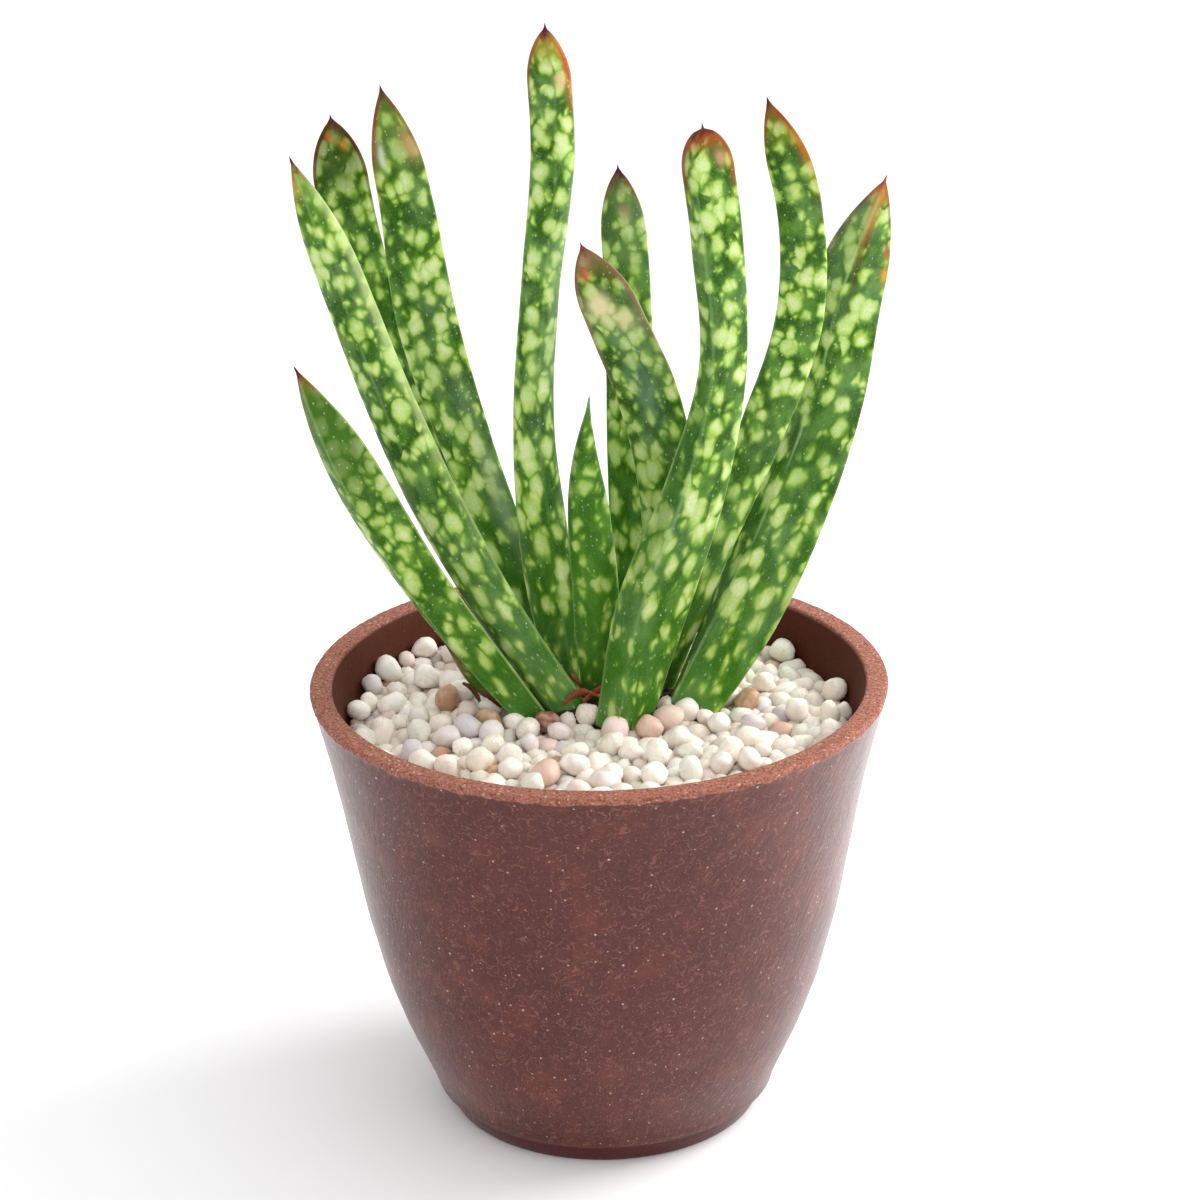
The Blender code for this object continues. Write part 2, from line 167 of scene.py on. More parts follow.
def vertexAttribute(mesh, name, kind, values):
    layer = mesh.attributes.new(name, kind, "POINT")
    field = {"FLOAT": "value", "FLOAT_VECTOR": "vector", "FLOAT_COLOR": "color", "INT": "value"}[kind]
    layer.data.foreach_set(field, np.asarray(values, float if kind != "INT" else int).ravel())


def lumps(points, grain, seed):  # soft noise from -1 to 1 at points in millimetres
    shift = Vector((seed * 17.3, seed * 5.1, seed * 9.7))
    return np.array([noise.noise(Vector(p) / grain + shift) for p in points])


def newNodeTree(name, sockets):  # a geometry tree with named inputs
    tree = bpy.data.node_groups.new(name, "GeometryNodeTree")
    tree.interface.new_socket("Geometry", in_out="INPUT", socket_type="NodeSocketGeometry")
    for label, kind in sockets.items():
        tree.interface.new_socket(label, in_out="INPUT", socket_type="NodeSocket" + kind)
    tree.interface.new_socket("Geometry", in_out="OUTPUT", socket_type="NodeSocketGeometry")
    return tree, addNode(tree, "NodeGroupInput").outputs


def endTree(tree, placed, material, smooth):  # real faces with their material, as the tree's result
    made = addNode(tree, "GeometryNodeRealizeInstances", {}, {0: placed}).outputs[0]
    if smooth:
        made = addNode(tree, "GeometryNodeSetShadeSmooth", {}, {0: made}).outputs[0]
    made = addNode(tree, "GeometryNodeSetMaterial", {}, {0: made, "Material": material}).outputs[0]
    addNode(tree, "NodeGroupOutput", {}, {0: made})


def scatterBalls(name, mesh, look, material):  # small balls over a mesh, more where chance is high
    tree, given = newNodeTree("scatter" + name, {"Density": "Float", "Radius": "Float", "Seed": "Int",
                                                 "Material": "Material"})
    chance = addNode(tree, "GeometryNodeInputNamedAttribute", {"data_type": "FLOAT"}, {"Name": "chance"})
    density = addNode(tree, "ShaderNodeMath", {"operation": "MULTIPLY"},
                      {0: chance.outputs[0], 1: given["Density"]})
    points = addNode(tree, "GeometryNodeDistributePointsOnFaces", {"distribute_method": "RANDOM"},
                     {"Mesh": given["Geometry"], "Density": density.outputs[0], "Seed": given["Seed"]})
    ball = addNode(tree, "GeometryNodeMeshIcoSphere", {}, {"Radius": given["Radius"],
                                                           "Subdivisions": look["subdivisions"]})
    low, high, seed = look["sizes"]
    uneven = isinstance(low, tuple)
    size = addNode(tree, "FunctionNodeRandomValue", {"data_type": "FLOAT_VECTOR" if uneven else "FLOAT"},
                   {0 if uneven else 2: low, 1 if uneven else 3: high,
                    "Seed": seed}).outputs[0 if uneven else 1]
    spin = addNode(tree, "FunctionNodeRandomValue", {"data_type": "FLOAT_VECTOR"},
                   {1: [look["spin"]] * 3, "Seed": look["spinSeed"]})
    rotation = addNode(tree, "FunctionNodeEulerToRotation", {}, {0: spin.outputs[0]})
    placed = addNode(tree, "GeometryNodeInstanceOnPoints", {},
                     {"Points": points.outputs[0], "Instance": ball.outputs[0],
                      "Rotation": rotation.outputs[0],
                      "Scale": size})
    endTree(tree, placed.outputs[0], given["Material"], look["smooth"])
    made = runNodes(mesh, tree, {"Density": look["perSquareMetre"], "Radius": look["radius"] * mm,
                                 "Seed": look["seed"], "Material": material})
    return addPiece(name, made, None)


def runNodes(mesh, tree, values):  # runs a geometry node tree on a mesh and hands back a plain mesh
    carrier = bpy.data.objects.new(tree.name, mesh)
    bpy.context.scene.collection.objects.link(carrier)
    modifier = carrier.modifiers.new(tree.name, "NODES")
    modifier.node_group = tree
    for item in tree.interface.items_tree:
        if item.item_type == "SOCKET" and item.in_out == "INPUT" and item.name in values:
            modifier[item.identifier] = values[item.name]
    graph = bpy.context.evaluated_depsgraph_get()
    result = bpy.data.meshes.new_from_object(carrier.evaluated_get(graph), depsgraph=graph)
    bpy.data.objects.remove(carrier)
    made = [material for material in result.materials if material]
    result.materials.clear()
    result.materials.append(made[0])
    result.polygons.foreach_set("material_index", np.zeros(len(result.polygons), int))
    return result


# camera, lights and floor
view = dict(target=(0.00049, 0, 0.11314), distance=0.8, elevation=22.28, roll=-0.91, lens=116.66, sensor=36)
studio = dict(worldStrength=0.97, keyFrom=(0.36, -0.42, 1.0), keyStrength=0.55, keySpread=75, sideSize=0.36,
              sidePower=3.9, sidePlace=(0.46, 0.14, 0.34), sideAim=(0.36, 0.08, 0), floorSize=8.0,
              paper=(0.96, 0.96, 0.962, 1))


def aimedFrom(direction):  # a lamp's turn when it shines from that side
    return Vector(direction).to_track_quat("Z", "Y").to_matrix().to_4x4()


def buildStudio():
    tilt = math.radians(view["elevation"])
    ahead = Vector((0, math.cos(tilt), -math.sin(tilt)))
    camera = bpy.data.objects.new("camera", bpy.data.cameras.new("camera"))
    camera.data.lens, camera.data.sensor_width = view["lens"], view["sensor"]
    camera.data.clip_start, camera.data.clip_end = 0.01, 50
    turn = Matrix.Rotation(math.radians(90 - view["elevation"]), 3, "X") @ Matrix.Rotation(
        math.radians(view["roll"]), 3, "Z")
    camera.matrix_world = Matrix.Translation(
        Vector(view["target"]) - ahead * view["distance"]) @ turn.to_4x4()
    bpy.context.scene.camera = camera
    bpy.context.scene.view_settings.view_transform = "Standard"

    world = bpy.data.worlds.new("paleRoom")
    world.use_nodes = True
    background = world.node_tree.nodes["Background"]
    background.inputs[0].default_value = (1, 1, 1, 1)
    background.inputs[1].default_value = studio["worldStrength"]
    bpy.context.scene.world = world
    key = bpy.data.objects.new("overheadKey", bpy.data.lights.new("overheadKey", "SUN"))
    key.data.energy = studio["keyStrength"]
    key.data.angle = math.radians(studio["keySpread"])
    key.matrix_world = aimedFrom(studio["keyFrom"])
    side = bpy.data.objects.new("sideSoftbox", bpy.data.lights.new("sideSoftbox", "AREA"))
    side.data.size = studio["sideSize"]
    side.data.energy = studio["sidePower"]
    place = Vector(studio["sidePlace"])
    side.matrix_world = Matrix.Translation(place) @ aimedFrom(place - Vector(studio["sideAim"]))

    half = studio["floorSize"] / 2
    mesh = bpy.data.meshes.new("studioFloor")
    mesh.from_pydata([(-half, -half, 0), (half, -half, 0), (half, half, 0), (-half, half, 0)], [],
                     [(0, 1, 2, 3)])
    floor = bpy.data.objects.new("studioFloor", mesh)
    for item in (camera, key, side, floor):
        bpy.context.scene.collection.objects.link(item)
    material, tree, shader = newMaterial("whiteStudioPaper")  # matte paper, no shine
    shader.inputs["Base Color"].default_value = studio["paper"]
    shader.inputs["Roughness"].default_value = 0.9
    shader.inputs["Specular IOR Level"].default_value = 0.1
    mesh.materials.append(material)


buildStudio()
print("studio ready")

# leaves: spine as x, y, z and width in millimetres from base to tip, the same blades as the solids
leafShape = dict(
    rings=150, sides=56, tipRings=22, spikeLength=1.3, spikeRadius=0.3, frontShare=0.72, thinning=0.25,
    keelRound=0.006, ripple=0.07, rippleGrain=5.0, dimple=0.025, dimpleGrain=1.3, quietTip=6,
    marginBead=0.10, beadWidth=0.22, blotchLength=1.4, baseLength=0.7, baseShare=0.6)
backFold = 9.0  # marks the back of a blade where the front has its distance from the keel
leaves = dict(
    leaf_front_left_low=dict(
        spine=((-13, 1, 85.5, 6), (-26.5, -4, 106, 9), (-36, -7.5, 122, 10),
               (-44.5, -10.5, 138.5, 11), (-51.5, -13, 154, 10), (-59, -16, 170.5, 9)),
        thick=4.6, keel=(-0.6, -0.4), sharp=0.8, turn=(-18, -12), tip=27, blunt=0.95),
    leaf_front_left_long=dict(
        spine=((-6, 3.5, 86, 9), (-20.5, 0.5, 111, 9.8), (-32.5, -2, 136, 10.8),
               (-42, -4.5, 161.5, 10.2), (-50, -6.5, 186.5, 9.2), (-58.5, -9, 211, 8)),
        thick=4.8, keel=(-0.3, 0), sharp=0.25, turn=(-14, -8), tip=24, blunt=0.9),
    leaf_back_left_outer=dict(
        spine=((-9, 25, 85, 7), (-22, 26, 112, 8), (-33, 27, 136, 8.6),
               (-42.5, 28.5, 160, 9.5), (-49.5, 30, 184.5, 11), (-53, 31, 208.5, 10.8)),
        thick=4.2, keel=(0.1, 0), sharp=0.4, turn=(196, 186), tip=14, blunt=0.78),
    leaf_back_left_inner=dict(
        spine=((-8, 18, 85.5, 7), (-18.5, 18, 117, 9), (-27, 18, 142.5, 10.6),
               (-34, 18.5, 168, 12.2), (-37.5, 19, 193, 10.8), (-42, 19.5, 217.5, 8.6)),
        thick=4.6, keel=(0, 0), sharp=0.45, turn=(192, 180), tip=19, blunt=0.85),
    leaf_centre_tall=dict(
        spine=((-6.5, 13, 85.5, 6.5), (-10.5, 11, 118, 10.2), (-12.5, 8.5, 149, 8.2),
               (-10.5, 6.5, 178.5, 7.6), (-7.5, 5, 206.5, 8.6), (-8.5, 3.5, 233.5, 8.4)),
        thick=5, keel=(0.3, 0.2), sharp=0.3, turn=(10, -6), tip=12, blunt=0.75),
    leaf_centre_short=dict(
        spine=((0.5, 8.5, 85.5, 7), (0, 6, 101.5, 9.2), (-0.5, 4, 116, 9.4),
               (-1.5, 2, 131, 8.6), (-2, 0, 145, 6.8), (-1, -2, 158.5, 5)),
        thick=3.8, keel=(0, 0), sharp=0.2, turn=(0, 0), tip=30, blunt=1.0),
    leaf_back_right_straight=dict(
        spine=((7.5, 25, 85, 7), (7.5, 26, 109, 8.5), (7.5, 27.5, 132, 9.8),
               (7.5, 28.5, 154, 9.8), (7, 30, 176, 9.4), (5.5, 31, 197, 9)),
        thick=4.2, keel=(0, 0), sharp=0.4, turn=(180, 176), tip=15, blunt=0.75),
    leaf_back_right_wide=dict(
        spine=((12, 18, 85.5, 7), (14, 17, 110, 9), (14.8, 15.5, 131, 12),
               (11.4, 14.5, 151, 13.2), (4.5, 14, 169, 12.6), (-2.5, 13, 186, 11)),
        thick=4.6, keel=(0.3, 0.2), sharp=0.5, turn=(170, 160), tip=15, blunt=0.85),
    leaf_front_centre=dict(
        spine=((4.5, -4, 86, 11), (11.2, -4, 113, 14.8), (20, -7.5, 140, 12.4),
               (25.5, -10.5, 166.5, 9.4), (24.5, -13, 192.5, 10), (21.5, -15, 218, 10)),
        thick=6, keel=(-0.35, -0.6), sharp=0.7, turn=(8, 0), tip=9, blunt=0.5),
    leaf_right_long=dict(
        spine=((11, 10.5, 85.5, 6.5), (23.4, 3, 122, 7.6), (33.5, 0, 149, 9.2),
               (41, -1.5, 173, 9.4), (41, -2, 197, 8.8), (34.5, -2, 219.5, 8.6)),
        thick=4.2, keel=(0, 0), sharp=0.35, turn=(186, 176), tip=19, blunt=0.9),
    leaf_far_right=dict(
        spine=((18.5, 2.5, 85.5, 10), (30.4, 6, 107.5, 14.8), (40, 8, 130.5, 16),
               (47.5, 8.5, 154, 15), (52, 8.5, 178, 13.8), (59, 8, 200.5, 11)),
        thick=7, keel=(-0.7, 0), sharp=0.95, turn=(-26, -8), tip=23, blunt=0.85),
    leaf_old_stub=dict(
        spine=((-20.5, 8, 87, 4), (-23.5, 7, 90.5, 4.4), (-25.8, 6, 93.5, 4.2),
               (-28, 5, 97, 3.8), (-30.5, 3.8, 101, 3), (-33, 2.5, 104.5, 2)),
        thick=2.2, keel=(0, 0), sharp=0.3, turn=(-30, -30), tip=12, blunt=1.0),
)
# how each blade differs to the eye: bloom is the grey wax, edge the pale margin, rust how far down the
# margins the dry colour rustTone runs in millimetres, tip and glow the colours of the point and of the
# skin under it, glowReach how far that goes, and ridge how pale the keel is
leafLooks = {name: dict(zip(("bloom", "edge", "rust", "rustTone", "tip", "glow", "glowReach", "ridge"), row))
             for name, row in dict(
    leaf_front_left_low=(0.1, 0.5, 12, "#84402c", "#3f1714", "#8a5a1e", 3, 0.25),
    leaf_front_left_long=(0.3, 0.35, 9, "#84402c", "#4d1a20", "#9a8a2a", 4, 0.2),
    leaf_back_left_outer=(0.15, 0.22, 42, "#561a14", "#57201f", "#4a3f1c", 5, 0),
    leaf_back_left_inner=(0.3, 0.22, 26, "#7a3a20", "#571f2a", "#5f6a2c", 4, 0),
    leaf_centre_tall=(0.3, 0.22, 18, "#a03c18", "#5a1a24", "#9a7a22", 6, 0.1),
    leaf_centre_short=(0.1, 0.22, 0, "#84402c", "#6f9a6a", "#4d8a3a", 5, 0),
    leaf_back_right_straight=(0.3, 0.22, 14, "#84402c", "#4a1a2c", "#5a5a30", 4, 0),
    leaf_back_right_wide=(0.5, 0.22, 22, "#8a564c", "#8a4a48", "#9a7a5a", 6, 0),
    leaf_front_centre=(0.25, 0.22, 16, "#84402c", "#5f2a18", "#b0601e", 4, 0.2),
    leaf_right_long=(0.2, 0.22, 20, "#8a3818", "#57202a", "#8a6a22", 4, 0),
    leaf_far_right=(0.3, 0.22, 14, "#6a2c34", "#a04040", "#b87a28", 6, 0.5),
    leaf_old_stub=(0.0, 0.22, 30, "#84402c", "#5f3a1c", "#6a4a22", 9, 0)).items()}


def tipClosing(distance, leaf):  # share of the full width left at a distance from the end of the spike
    reach = np.clip((distance - leafShape["spikeLength"]) / leaf["tip"], 0, 1)
    return (1 - (1 - reach) ** 2) ** leaf["blunt"]


def bladeFrame(leaf, places):  # centre, along, facing and across of the blade at each place
    spine = np.array(leaf["spine"], float)
    centre = smoothPath(spine[:, :3], places)
    ahead = smoothPath(spine[:, :3], places + 0.01) - smoothPath(spine[:, :3], places - 0.01)
    ahead /= np.linalg.norm(ahead, axis=1)[:, None]
    front = np.array([0, -1, 0]) - ahead * (-ahead[:, 1])[:, None]
    front /= np.linalg.norm(front, axis=1)[:, None]
    turn = np.radians(leaf["turn"][0] + (leaf["turn"][1] - leaf["turn"][0]) * places)[:, None]
    facing = front * np.cos(turn) + np.cross(ahead, front) * np.sin(turn)
    return centre, ahead, facing, np.cross(ahead, facing)


def bladeMesh(name, leaf, number):
    shape, sides = leafShape, leafShape["sides"]
    spine = np.array(leaf["spine"], float)
    length = np.linalg.norm(np.diff(spine[:, :3], axis=0), axis=1).sum()
    tipShare = min(leaf["tip"] / length, 0.6)
    upper = np.cos(np.linspace(0, math.pi / 2, shape["tipRings"] + 1))[1:-1]
    spikeRows = [1 - share * shape["spikeLength"] / length for share in (0.8, 0.4)]
    places = np.concatenate([np.linspace(0, 1 - tipShare, shape["rings"]), 1 - tipShare * upper, spikeRows])
    places.sort()
    centre, ahead, facing, across = bladeFrame(leaf, places)
    distance = (1 - places) * length
    closing = tipClosing(distance, leaf)
    spike = shape["spikeRadius"] * np.clip(distance / shape["spikeLength"], 0.15, 1)
    halfWidth = np.maximum(0.5 * smoothPath(spine[:, 3:], places)[:, 0] * closing, spike)
    thick = np.maximum(leaf["thick"] * closing ** 0.8 * (1 - shape["thinning"] * places), 1.6 * spike)
    keel = leaf["keel"][0] + (leaf["keel"][1] - leaf["keel"][0]) * places

    angle = 2 * math.pi * np.arange(sides) / sides
    side, swell = np.cos(angle)[None, :], np.abs(np.sin(angle))[None, :]
    span = np.where(side > keel[:, None], 1 - keel[:, None], 1 + keel[:, None])
    fold = np.abs(side - keel[:, None]) / span
    ridge = 1 - np.sqrt(fold ** 2 + shape["keelRound"]) + math.sqrt(shape["keelRound"])
    front = angle[None, :] < math.pi
    rise = thick[:, None] * np.where(
        front, shape["frontShare"] * (leaf["sharp"] * np.maximum(ridge, 0) + (1 - leaf["sharp"]) * swell),
        -(1 - shape["frontShare"]) * swell)
    fromMargin = halfWidth[:, None] * (1 - np.abs(side))
    bead = (shape["marginBead"] * np.exp(-(fromMargin / shape["beadWidth"]) ** 2)
            * np.clip(closing, 0, 1)[:, None])
    u = side * (halfWidth[:, None] + bead)
    points = centre[:, None] + across[:, None] * u[..., None] + facing[:, None] * rise[..., None]

    outward = points - centre[:, None]
    outward /= np.linalg.norm(outward, axis=2)[..., None] + 1e-9
    flat = points.reshape(-1, 3)
    uneven = (lumps(flat / [1, 1, 1.8], shape["rippleGrain"], number) * shape["ripple"]
              + lumps(flat / [1, 1, 1.5], shape["dimpleGrain"], number + 31) * shape["dimple"])
    fade = np.clip(distance / shape["quietTip"], 0.1, 1)[:, None, None]
    points = points + outward * uneven.reshape(len(places), sides)[..., None] * fade

    # the map runs in millimetres across from the keel, or from the middle of the back, and along the blade
    rows, half = len(places), sides // 2
    gaps = np.linalg.norm(np.roll(points, -1, 1) - points, axis=2)
    arc = np.concatenate([np.zeros((rows, 1)), np.cumsum(gaps, 1)], 1)
    keelArc = np.array([np.interp(-keel[i], -np.cos(angle[:half + 1]), arc[i, :half + 1])
                        for i in range(rows)])
    backArc = 0.5 * (arc[:, half] + arc[:, sides])
    stretch = shape["blotchLength"] + shape["baseLength"] * np.clip(1 - places / shape["baseShare"], 0, 1)
    along = np.concatenate([[0], np.cumsum(np.diff(places) * length / (0.5 * (stretch[1:] + stretch[:-1])))])

    def mapPoint(row, place, isFront):  # the two sides lie far apart on the map, and so do the blades
        start, far = (keelArc, 400) if isFront else (backArc, 900)
        return (arc[row, place] - start[row] + far + 53 * number, along[row])

    faces, corners = [], []
    for row in range(rows - 1):
        for k in range(sides):
            after = (k + 1) % sides
            faces.append((row * sides + k, row * sides + after, (row + 1) * sides + after,
                          (row + 1) * sides + k))
            corners += [mapPoint(row + up, k + right, k < half)
                        for up, right in ((0, 0), (0, 1), (1, 1), (1, 0))]
    top, base, last = rows * sides, rows * sides + 1, rows - 1
    for k in range(sides):
        after = (k + 1) % sides
        faces += [(last * sides + k, last * sides + after, top), (after, k, base)]
        corners += [mapPoint(row, k + right, k < half)
                    for row, right in ((last, 0), (last, 1), (last, 0), (0, 1), (0, 0), (0, 0))]

    mesh = newMesh(name, np.vstack([points.reshape(-1, 3), spine[-1, :3], centre[0] - ahead[0] * 0.2]), faces)
    mesh.uv_layers.new(name="bladeMap").data.foreach_set("uv", np.array(corners).ravel())
    mesh.flip_normals()
    whole = np.ones((rows, sides))
    edge = np.stack([halfWidth[:, None] * (1 + side), halfWidth[:, None] * (1 - side),
                     distance[:, None] * whole], -1)
    fold = np.where(front, np.abs(side - keel[:, None]) * halfWidth[:, None], backFold)
    body = np.stack([fold, (places * length)[:, None] * whole, halfWidth[:, None] * whole], -1)
    vertexAttribute(mesh, "bladeEdge", "FLOAT_VECTOR",
                    np.vstack([edge.reshape(-1, 3), [[0, 0, 0], [2, 2, length]]]))
    vertexAttribute(mesh, "bladeBody", "FLOAT_VECTOR", np.vstack([
        body.reshape(-1, 3), [[backFold, length, 0.2], [backFold, 0, 2]]]))
    return mesh


# the skin's patterns in millimetres: each noise as scale, detail and roughness, each kind of blotch as
# spacing, smallest and largest reach and shift, and the blotch from its halo to its pale heart
skin = dict(
    noises=dict(bend=(0.42, 1.0, 0.5), drift=(0.10, 1.0, 0.5), streaks=(1.0, 3.0, 0.5),
                stipple=(2.6, 2.0, 0.7), mottle=(0.22, 2.0, 0.5), wax=(0.11, 3.0, 0.6), rag=(0.7, 3.0, 0.5),
                pores=(3.2, 2.0, 0.5)),
    streak=(1.2, 0.12, 1), bend=1.8, drift=0.40, randomness=0.84, smoothness=0.22, merge=0.06,
    blotches=((4.6, 0.19, 0.37, (0, 0, 0)), (4.1, -0.02, 0.37, (31.7, 12.9, 0)),
              (2.6, -0.22, 0.33, (77.1, 55.3, 0))),
    stops=((0.0, "#47801a", 0.0), (0.24, "#60921e", 0.55), (0.40, "#8db348", 0.92), (0.50, "#abc764", 1.0),
           (0.68, "#c2d886", 1.0), (1.0, "#d6e4a8", 1.0)),
    deep="#163606", light="#3a6412", mottle="#5e8c1e", young="#44821c", stipple="#9db889", wax="#7f9c74",
    lime="#9cc24e", veil="#9fb58c", dots="#cfe0c0", line="#b4cc80", ridge="#a9c88c",
    bump=0.35, relief=0.12, ior=1.45, specular=0.13)


def gasteriaSkin(name, look):  # living succulent skin: waxy, blotched, a soft sheen from the bloom
    material, tree, shader = newMaterial(name)
    uv = addNode(tree, "ShaderNodeUVMap", {"uv_map": "bladeMap"}).outputs[0]
    edge, body = [addNode(tree, "ShaderNodeSeparateXYZ", {}, {0: addNode(
        tree, "ShaderNodeAttribute", {"attribute_name": label}).outputs["Vector"]}).outputs
        for label in ("bladeEdge", "bladeBody")]
    patch = addNode(tree, "ShaderNodeAttribute", {"attribute_name": "bladePatch"}).outputs
    streak = addNode(tree, "ShaderNodeVectorMath", {"operation": "MULTIPLY"},
                     {0: uv, 1: skin["streak"]}).outputs[0]
    noises = {label: addNode(tree, "ShaderNodeTexNoise", {"noise_dimensions": "2D"},
                             {"Vector": streak if label == "streaks" else uv, "Scale": scale,
                              "Detail": detail,
                              "Roughness": rough}).outputs
              for label, (scale, detail, rough) in skin["noises"].items()}
    margin = addNode(tree, "ShaderNodeMath", {"operation": "MINIMUM"}, {0: edge[0], 1: edge[1]}).outputs[0]
    ragged = addNode(tree, "ShaderNodeMath", {"operation": "MULTIPLY_ADD"},
                     {0: noises["rag"][0], 1: 4.0, 2: edge[2]}).outputs[0]
    shares = {label: addNode(tree, "ShaderNodeMapRange", {"interpolation_type": kind},
                             {0: source, 1: low, 2: high, 3: start, 4: end}).outputs[0]
              for label, kind, source, low, high, start, end in (
        ("rooted", "LINEAR", body[1], 5.0, 40.0, -0.34, -0.20),
        ("young", "LINEAR", body[1], 6.0, 62.0, 0.62, 0.10),
        ("mottle", "LINEAR", noises["mottle"][0], 0.45, 0.72, 0.0, 0.75),
        ("stipple", "LINEAR", noises["stipple"][0], 0.55, 0.75, 0.0, 0.22),
        ("wax", "LINEAR", noises["wax"][0], 0.42, 0.70, 0.0, look["bloom"]),
        ("gloss", "LINEAR", noises["wax"][0], 0.3, 0.7, 0.30, 0.46),
        ("line", "SMOOTHSTEP", margin, 0.05, 0.28, look["edge"], 0.0),
        ("ridge", "SMOOTHSTEP", body[0], 0.1, 0.5, look["ridge"], 0.0),
        ("rust", "LINEAR", ragged, 2.0, 2.5 + look["rust"], 1.1, 0.0),
        ("glow", "SMOOTHSTEP", ragged, 3.0, 4.0 + look["glowReach"], 0.9, 0.0),
        ("point", "SMOOTHSTEP", ragged, 3.4, 6.4, 1.0, 0.0))}

    # soft blotches in three sizes that run together here and there
    bend = [skin["bend"], skin["bend"], 0]
    nudge = addNode(tree, "ShaderNodeVectorMath", {"operation": "MULTIPLY_ADD"},
                    {0: noises["bend"]["Color"], 1: bend, 2: [-value / 2 for value in bend]})
    place = addNode(tree, "ShaderNodeVectorMath", {"operation": "ADD"},
                    {0: uv, 1: nudge.outputs[0]}).outputs[0]
    push = addNode(tree, "ShaderNodeMath", {"operation": "MULTIPLY_ADD"},
                   {0: noises["drift"][0], 1: skin["drift"], 2: shares["rooted"]}).outputs[0]
    inside = None
    for step, small, large, shift in skin["blotches"]:
        moved = addNode(tree, "ShaderNodeVectorMath", {"operation": "ADD"}, {0: place, 1: shift})
        grid = addNode(tree, "ShaderNodeVectorMath", {"operation": "SCALE"},
                       {0: moved.outputs[0], "Scale": 1 / step})
        cells = addNode(tree, "ShaderNodeTexVoronoi", {"voronoi_dimensions": "2D", "feature": "SMOOTH_F1"},
                        {"Vector": grid.outputs[0], "Scale": 1.0, "Randomness": skin["randomness"],
                         "Smoothness": skin["smoothness"]})
        parts = addNode(tree, "ShaderNodeSeparateColor", {}, {0: cells.outputs["Color"]})
        reach = addNode(tree, "ShaderNodeMath", {"operation": "MULTIPLY_ADD"},
                        {0: parts.outputs[0], 1: large - small, 2: push})
        depth = addNode(tree, "ShaderNodeMath", {"operation": "SUBTRACT"},
                        {0: reach.outputs[0], 1: cells.outputs["Distance"]})
        depth = addNode(tree, "ShaderNodeMath", {"operation": "MULTIPLY_ADD"},
                        {0: depth.outputs[0], 1: step / 4, 2: small * step / 4}).outputs[0]
        if inside is None:
            inside, tone = depth, parts.outputs[1]
        else:
            inside = addNode(tree, "ShaderNodeMath", {"operation": "SMOOTH_MAX"},
                             {0: inside, 1: depth, 2: skin["merge"]}).outputs[0]
    spread = addNode(tree, "ShaderNodeMapRange", {}, {0: inside, 1: -0.16, 2: 0.30})
    ramp = addNode(tree, "ShaderNodeValToRGB", {}, {0: spread.outputs[0]})
    fillRamp(ramp, skin["stops"])
    limeShare = addNode(tree, "ShaderNodeMapRange", {}, {0: tone, 1: 0.2, 2: 0.8, 3: 0.0, 4: 0.4})
    toned = addNode(tree, "ShaderNodeMix", {"data_type": "RGBA"},
                    {0: limeShare.outputs[0], 6: ramp.outputs[0], 7: fromHex(skin["lime"])})
    grainy = addNode(tree, "ShaderNodeMath", {"operation": "MULTIPLY_ADD"},
                     {0: noises["stipple"][0], 1: 0.4, 2: 0.80})
    shaded = addNode(tree, "ShaderNodeVectorMath", {"operation": "SCALE"},
                     {0: toned.outputs[2], "Scale": grainy.outputs[0]})
    veil = addNode(tree, "ShaderNodeMath", {"operation": "MULTIPLY"}, {0: shares["wax"], 1: 0.55})
    flesh = addNode(tree, "ShaderNodeMix", {"data_type": "RGBA"},
                    {0: veil.outputs[0], 6: shaded.outputs[0], 7: fromHex(skin["veil"])}).outputs[2]
    blotch = addNode(tree, "ShaderNodeMath", {"operation": "MULTIPLY"},
                     {0: ramp.outputs[1], 1: 0.97}).outputs[0]

    # tiny white raised dots, drawn as 0.3 mm because finer ones don't show
    dots = addNode(tree, "ShaderNodeTexVoronoi", {"voronoi_dimensions": "2D"}, {"Vector": uv, "Scale": 0.8})
    dotPick = addNode(tree, "ShaderNodeSeparateColor", {}, {0: dots.outputs["Color"]})
    dotSize = addNode(tree, "ShaderNodeMapRange", {},
                      {0: dotPick.outputs[0], 1: 0.62, 2: 1.0, 3: 0.0, 4: 0.15})
    dotAway = addNode(tree, "ShaderNodeMath", {"operation": "SUBTRACT"},
                      {0: dotSize.outputs[0], 1: dots.outputs["Distance"]})
    dotMask = addNode(tree, "ShaderNodeMapRange", {"interpolation_type": "SMOOTHSTEP"},
                      {0: dotAway.outputs[0], 1: -0.06, 2: 0.05, 4: 0.38}).outputs[0]

    # the margins turn rust-red near the point
    rustWidth = addNode(tree, "ShaderNodeMath", {"operation": "MULTIPLY_ADD"},
                        {0: shares["rust"], 1: 0.8, 2: 0.12})
    rustBand = addNode(tree, "ShaderNodeMath", {"operation": "SUBTRACT"},
                       {0: rustWidth.outputs[0], 1: margin})
    rustMask = addNode(tree, "ShaderNodeMapRange", {"interpolation_type": "SMOOTHSTEP"},
                       {0: rustBand.outputs[0], 1: -0.15, 2: 0.35})
    rusted = addNode(tree, "ShaderNodeMath", {"operation": "MULTIPLY", "use_clamp": True},
                     {0: rustMask.outputs[0], 1: shares["rust"]}).outputs[0]

